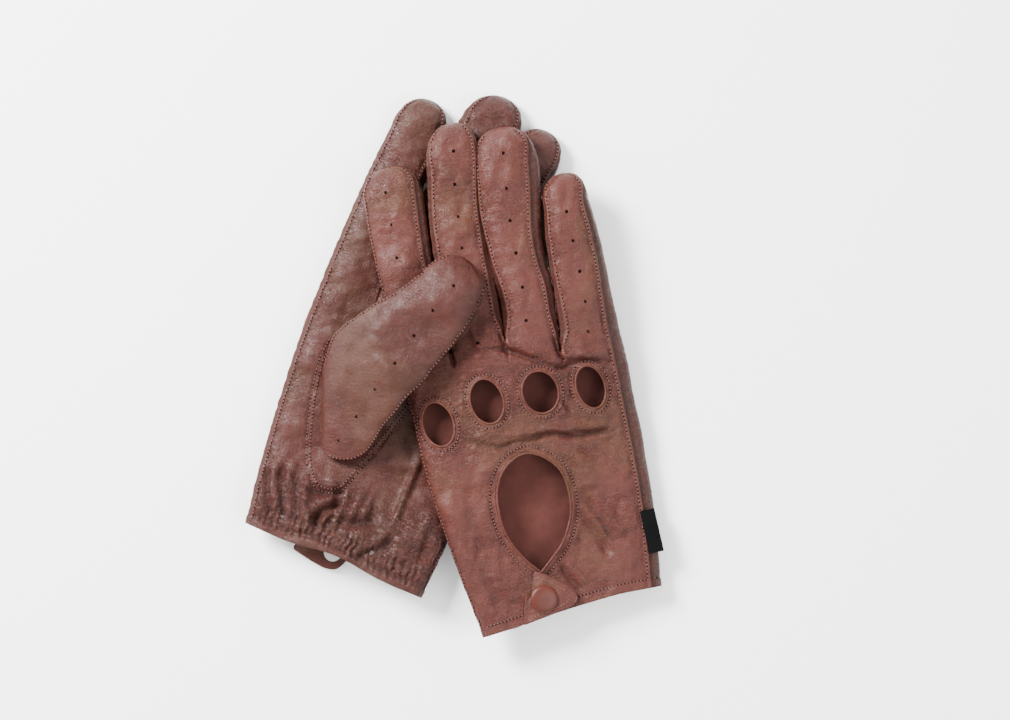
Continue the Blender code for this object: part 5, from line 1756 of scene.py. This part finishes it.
def right_plan() -> GlovePlan:
    """The upper glove, back up."""
    fingers = (
        Finger(
            "index",
            (
                (-53.4, 139, -28.6, 136.3), (-53.9, 168, -27.7, 163), (-54.3, 195, -26, 193),
                (-53.2, 212, -24, 213),
            ),
            (-39.0, 230.6), (2, 2), (40, 46),
        ),
        Finger(
            "middle",
            (
                (-28.6, 136.3, -1.4, 135), (-27.4, 165, 0.2, 165), (-26.5, 185, 0.7, 185),
                (-24.2, 205, 2.8, 205), (-20.4, 223, 6.6, 223),
            ),
            (-4.5, 244.6), (40, 32), (40, 34),
        ),
        Finger(
            "ring",
            (
                (-1.4, 135, 23.4, 124.3), (-0.2, 157, 26.7, 155), (-1.0, 172, 26.3, 170),
                (-1.1, 186, 27.6, 184), (-1.2, 198.5, 30.8, 198.5), (1.0, 216, 33.6, 214),
            ),
            (19.0, 237.2), (40, 24), (40, 50),
        ),
        Finger(
            "little",
            (
                (23.4, 124.3, 54, 117.2), (25.9, 145, 53.9, 146), (27, 162, 54.3, 162),
                (28.4, 179, 54.3, 176), (31, 195, 53.0, 195),
            ),
            (43.0, 208.6), (40, 28), (54, 44),
        ),
    )
    folds = (
        Fold(
            (
                (-20, 134), (-7.5, 132.4), (0.3, 129.6), (8.2, 124.7), (14.7, 120.2), (21.4, 116.7),
                (31.7, 117.8), (42.1, 115.4), (50.0, 114.0),
            ),
            1.0, 1.3, 0.8,
        ),
        Fold(
            (
                (-40.0, 95.0), (-31.6, 92.9), (-23.5, 89.0), (-15.8, 85.7), (-9.6, 86.3), (-0.8, 85.8),
                (9.4, 86.4), (21.1, 82.7), (39.2, 81.0), (46.0, 81.0),
            ),
            0.8, 1.3, 0.7,
        ),
        Fold(((-17.5, 150), (-16.7, 147.0), (-15.0, 136.6), (-11.2, 127.2)), -0.9, 1.5),
        Fold(((-28.8, 139.8), (-28.5, 128.2)), 0.9, 1.3, 0.4),
        Fold(((18.5, 55), (20.2, 50.9), (24.7, 39.8), (29.5, 26.2)), 0.6, 2.0, 0.7),
        Fold(((15.0, 50), (16.1, 45.8), (20.2, 33.4), (25.1, 19.7)), 0.6, 2.0, 0.6),
        Fold(((0.3, 25.4), (3.8, 14.6), (8.7, 7.5)), 0.9, 1.8, 0.6),
        Fold(((17.2, 87.6), (28.6, 83.0), (39.8, 83.4)), 0.5, 1.0, 0.4),
        Fold(((22.3, 94.5), (17.9, 101.5)), 0.6, 1.0, 0.4),
        Fold(((20.1, 78.4), (30.1, 67.6)), 0.5, 1.2, 0.4),
        Fold(((10.3, 77.2), (22.1, 65.5)), 0.5, 1.2, 0.4),
        Fold(((-38.6, 34.4), (-35.3, 18.6), (-33.7, 8.2)), 0.5, 2.6, 0.5),
        Fold(((-35.9, 63.8), (-36.3, 48.9), (-33.4, 35.2)), 0.5, 3.0, 0.5),
        Fold(((22.8, 134), (22.6, 130.4), (22.2, 120)), 0.9, 1.2, 0.4),
        Fold(((-2.9, 141.3), (-2.2, 130)), 0.9, 1.2, 0.4),
        Fold(((-34, 150), (-43, 146), (-50, 148)), 0.4, 1.4, 0.3),
    )
    return GlovePlan(
        Side.RIGHT,
        Ground(Side.RIGHT, (57.1, -119.0), 13.0),
        True,
        fingers,
        ((-44.1, -2.3), (-49.5, 37.0), (-53.4, 78.0), (-53.6, 108.0), (-53.4, 139.0)),
        ((45.6, 2.4), (50.2, 34.0), (52.4, 64.0), (53.4, 92.0), (54.0, 117.2)),
        ((-44.1, -2.3), (-20.6, -0.3), (2.4, 1.9), (25.3, 3.2), (45.6, 2.4)),
        Finger(
            "thumb",
            ((-24.5, 82, -12, 38), (-18, 92, 4, 66), (-9.9, 102.6, 15.9, 89.4), (6.3, 127, 27.7, 116)),
            (23.5, 136.0), (0, 0), (0, 0), half_height=3.6,
        ),
        folds,
        {"index": 0.53, "middle": 0.46, "ring": 0.46, "little": 0.46},
    )


def left_plan() -> GlovePlan:
    """The lower glove, palm up."""
    fingers = (
        Finger(
            "index",
            (
                (-49.6, 131, -20.5, 131), (-47.4, 160, -19, 158), (-45.2, 184, -18, 182),
                (-42.3, 206, -16.0, 206),
            ),
            (-28.5, 225.4), (24, 20), (40, 34),
        ),
        Finger(
            "middle",
            ((-20.5, 131, 7, 131.5), (-17.5, 165, 7.3, 165), (-16, 192, 10.5, 192), (-11.8, 219, 17.6, 218)),
            (5.2, 238.4), (40, 34), (40, 34),
        ),
        Finger(
            "ring",
            ((7, 131.5, 31.5, 123), (8.5, 165, 32.5, 160), (11, 192, 36.5, 190), (15.5, 213, 40.8, 211)),
            (30.0, 229.6), (40, 34), (40, 34),
        ),
        Finger(
            "little",
            ((31.5, 123, 51, 112), (32.5, 158, 51, 152), (35.4, 184, 53.4, 180)),
            (45.0, 199.0), (40, 34), (2, 2),
        ),
    )
    folds = (
        Fold(((-26, 25), (-22.1, 26.5), (-12.4, 28.3), (-3.0, 34.1)), 1.0, 1.6, 0.6),
        Fold(((-12.3, 8.0), (-13.9, 14.8), (-12.0, 19.6), (-4.3, 27.4)), 1.6, 1.6, 1.0),
        Fold(((23.9, 62), (23.6, 57.1), (22.6, 39.2), (22.1, 21.0)), -1.5, 1.6),
        Fold(((-38.4, 36.3), (-34.5, 22.2), (-28.8, 8.7)), 1.0, 1.7, 0.7),
        Fold(((-45.3, 33.9), (-41.4, 19.8), (-34.8, 6.6)), 0.9, 1.5, 0.7),
        Fold(((-29.8, 34.1), (-26.0, 19.9), (-21.1, 8.7)), 1.0, 1.7, 0.8),
        Fold(((-5, 15), (-3.5, 17.4), (6.2, 19.2), (14.2, 26.0)), 1.3, 2.4, 0.8),
        Fold(((10, 0), (12.1, 4.1), (21.3, 13.0), (24, 22)), 0.9, 1.8, 0.7),
        Fold(((30.6, 4.8), (34.3, 20.1), (40.3, 40.2)), -0.9, 3.2),
        Fold(((9.9, 68.4), (22.4, 56.2)), 0.6, 2.5, 0.3),
        Fold(((3.9, 48.3), (23.2, 52.4)), -0.5, 2.6),
        Fold(THUMB_HOLE, 0.45, 0.6, 0.35),
    )
    return GlovePlan(
        Side.LEFT,
        Ground(Side.LEFT, (-58.0, -92.2), -19.0),
        False,
        fingers,
        ((-46.0, 1.7), (-49.0, 33.0), (-50.5, 66.0), (-50.9, 98.0), (-49.6, 131.0)),
        ((46.0, -5.0), (49.4, 24.0), (50.0, 54.0), (51.0, 84.0), (51.0, 112.0)),
        ((-46.0, 1.7), (-23.0, 0.0), (-8.0, 1.0), (20.0, -3.0), (46.0, -5.0)),
        Finger(
            "thumb",
            (
                (-38.5, 94, -19.5, 37), (-36, 101, -3.5, 50), (-32.1, 108.1, 3, 69.5), (-27, 115, 8.6, 84.5),
                (-20.5, 123, 14.5, 99.5), (-12.3, 133, 20.6, 114), (-3.6, 144.3, 26.4, 130),
            ),
            (16.2, 156.6), (0, 0), (0, 0), half_height=5.6,
        ),
        folds,
        {"index": 0.1, "little": 0.1},
    )


@dataclass
class Pair:
    """Both gloves, and everything that lies with them."""

    finishes: Finishes
    right_edge_foot: Plan = (-21.5, -13.7)  # where the upper glove's edge crosses the lower thumb
    right_edge_head: Plan = (-33.2, 32.7)

    def left_thumb_lift(self, ground: Ground) -> Callable[[Array], Array]:
        """Height of the lower glove's thumb above that glove's underside: it climbs on to the upper glove."""

        def lift(flat: Array) -> Array:
            """Height over plan points."""
            foot, head = np.array(self.right_edge_foot), np.array(self.right_edge_head)
            along = (head - foot) / np.linalg.norm(head - foot)
            over = (ground.world(flat) - foot) @ np.array([along[1], -along[0]])
            climb = (2 * UPPER_GLOVE_RISE - GLOVE_HEIGHT + 0.4) * smooth(over, -34.0, -5.0)
            return GLOVE_HEIGHT + 0.9 + climb

        return lift

    def build(self) -> None:
        """Builds the pair."""
        builder = Builder(self.finishes)
        nodes = set(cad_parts)
        replaced = {
            f"right_{a}_little_side_strip": [f"right_{a}_little_side_strip", f"right_{a}_{b}_crotch_strip"]
            for a, b in (("index", "middle"), ("middle", "ring"), ("ring", "little"))
        }
        replaced["left_middle_little_side_strip"] = ["left_middle_ring_crotch_strip"]
        right_drop = Opening(teardrop(), 0.6, 3.4, 0.55)
        left_drop = Opening(teardrop(-15.0), 0.6, 3.4, 0.3)
        right = Glove(right_plan(), builder, [*knuckle_openings(), (right_drop, "back")])
        left = Glove(left_plan(), builder, [*knuckle_openings(), (left_drop, "back")])
        for glove in (left, right):
            glove.build(replaced, nodes)
        Thumb(left, left.plan.thumb, 0.5, self.left_thumb_lift(left.plan.ground), LEFT_THUMB_VENTS).build()
        right_ground = right.plan.ground
        Thumb(right, right.plan.thumb, 0.5, lambda flat: 0.35 - right_ground.height(flat)).build()
        Strap(
            right,
            (
                (-24.5, -1.2), (-16.0, 0.2), (-8.0, 1.3), (0.6, 2.9), (4.4, 5.0), (4.6, 8.6), (2.6, 12.0),
                (-1.8, 16.0), (-8.6, 21.4), (-13.8, 24.6), (-17.0, 22.0), (-20.5, 12.0),
            ),
            ((-21.5, -0.2), (-13.5, 25.6)),
            (-12.2, 9.8),
        ).build()
        Strap(
            left,
            (
                (-21.0, -3.0), (-12.0, -5.6), (-3.0, -7.3), (3.0, -6.2), (6.4, 0.0), (5.0, 6.0), (0.0, 8.4),
                (-5.6, 6.4), (-8.8, 1.8), (-12.5, 3.6), (-17.0, 9.0),
            ),
            ((-20.5, -3.2), (-17.0, 9.0)),
            (-1.5, 1.5),
        ).build()
        Label(right).build()
        self.keep_frame_nodes()

    def keep_frame_nodes(self) -> None:
        """Dresses the frame's own hard parts and hidden trim."""
        dress = {
            "facing": self.finishes.inside,
            "snap_socket": self.finishes.metal,
            "snap_stud": self.finishes.metal,
            "snap_post": self.finishes.metal,
            "elastic": self.finishes.elastic,
        }
        for name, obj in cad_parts.items():
            for word, material in dress.items():
                if word in name:
                    obj.data.materials.clear()
                    obj.data.materials.append(material)


@dataclass
class Studio:
    """The paper, the lights and the camera."""

    finishes: Finishes
    centre: tuple[float, float] = (0.0249, 0.0034)
    lens: float = 200.0
    sensor: float = 36.0
    view_width: float = 0.4927

    def build(self) -> None:
        """Sets up the paper, lights and camera."""
        self.paper()
        self.lights()
        self.camera()

    def paper(self) -> None:
        """The sheet under the gloves."""
        mesh = bpy.data.meshes.new("paper_sheet")
        far, level = 3.0, -0.0001
        corners = [(-far, -far, level), (far, -far, level), (far, far, level), (-far, far, level)]
        mesh.from_pydata(corners, [], [[0, 1, 2, 3]])
        mesh.materials.append(self.finishes.paper)
        sheet = bpy.data.objects.new("paper_sheet", mesh)
        bpy.context.scene.collection.objects.link(sheet)

    def lights(self) -> None:
        """A broad main light from the upper left, a fill from the right and a bright room."""
        world = bpy.data.worlds.new("studio")
        world.use_nodes = True
        background = world.node_tree.nodes["Background"]
        background.inputs["Color"].default_value = (1.0, 1.0, 1.0, 1.0)
        background.inputs["Strength"].default_value = 1.8
        bpy.context.scene.world = world
        settings = (
            ("main_light", (-0.95, 0.75, 0.95), 0.55, 125.0),
            ("fill_light", (0.95, -0.35, 1.2), 0.9, 22.0),
        )
        for name, place, size, power in settings:
            light = bpy.data.lights.new(name, "AREA")
            light.shape = "SQUARE"
            light.size = size
            light.energy = power
            obj = bpy.data.objects.new(name, light)
            obj.location = place
            aim = Vector((*self.centre, 0.0)) - Vector(place)
            obj.rotation_euler = aim.to_track_quat("-Z", "Y").to_euler()
            bpy.context.scene.collection.objects.link(obj)

    def camera(self) -> None:
        """A camera straight above, with a long lens."""
        data = bpy.data.cameras.new("camera")
        data.lens = self.lens
        data.sensor_width = self.sensor
        data.clip_end = 50.0
        obj = bpy.data.objects.new("camera", data)
        obj.location = (*self.centre, self.view_width * self.lens / self.sensor)
        obj.rotation_euler = (0.0, 0.0, 0.0)
        bpy.context.scene.collection.objects.link(obj)
        bpy.context.scene.camera = obj


def main() -> None:
    """Builds the scene round the frame."""
    logging.basicConfig(level=logging.INFO, format="%(name)s: %(message)s")
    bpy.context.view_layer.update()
    finishes = Finishes()
    Studio(finishes).build()
    Pair(finishes).build()


if __name__ == "__main__":
    main()
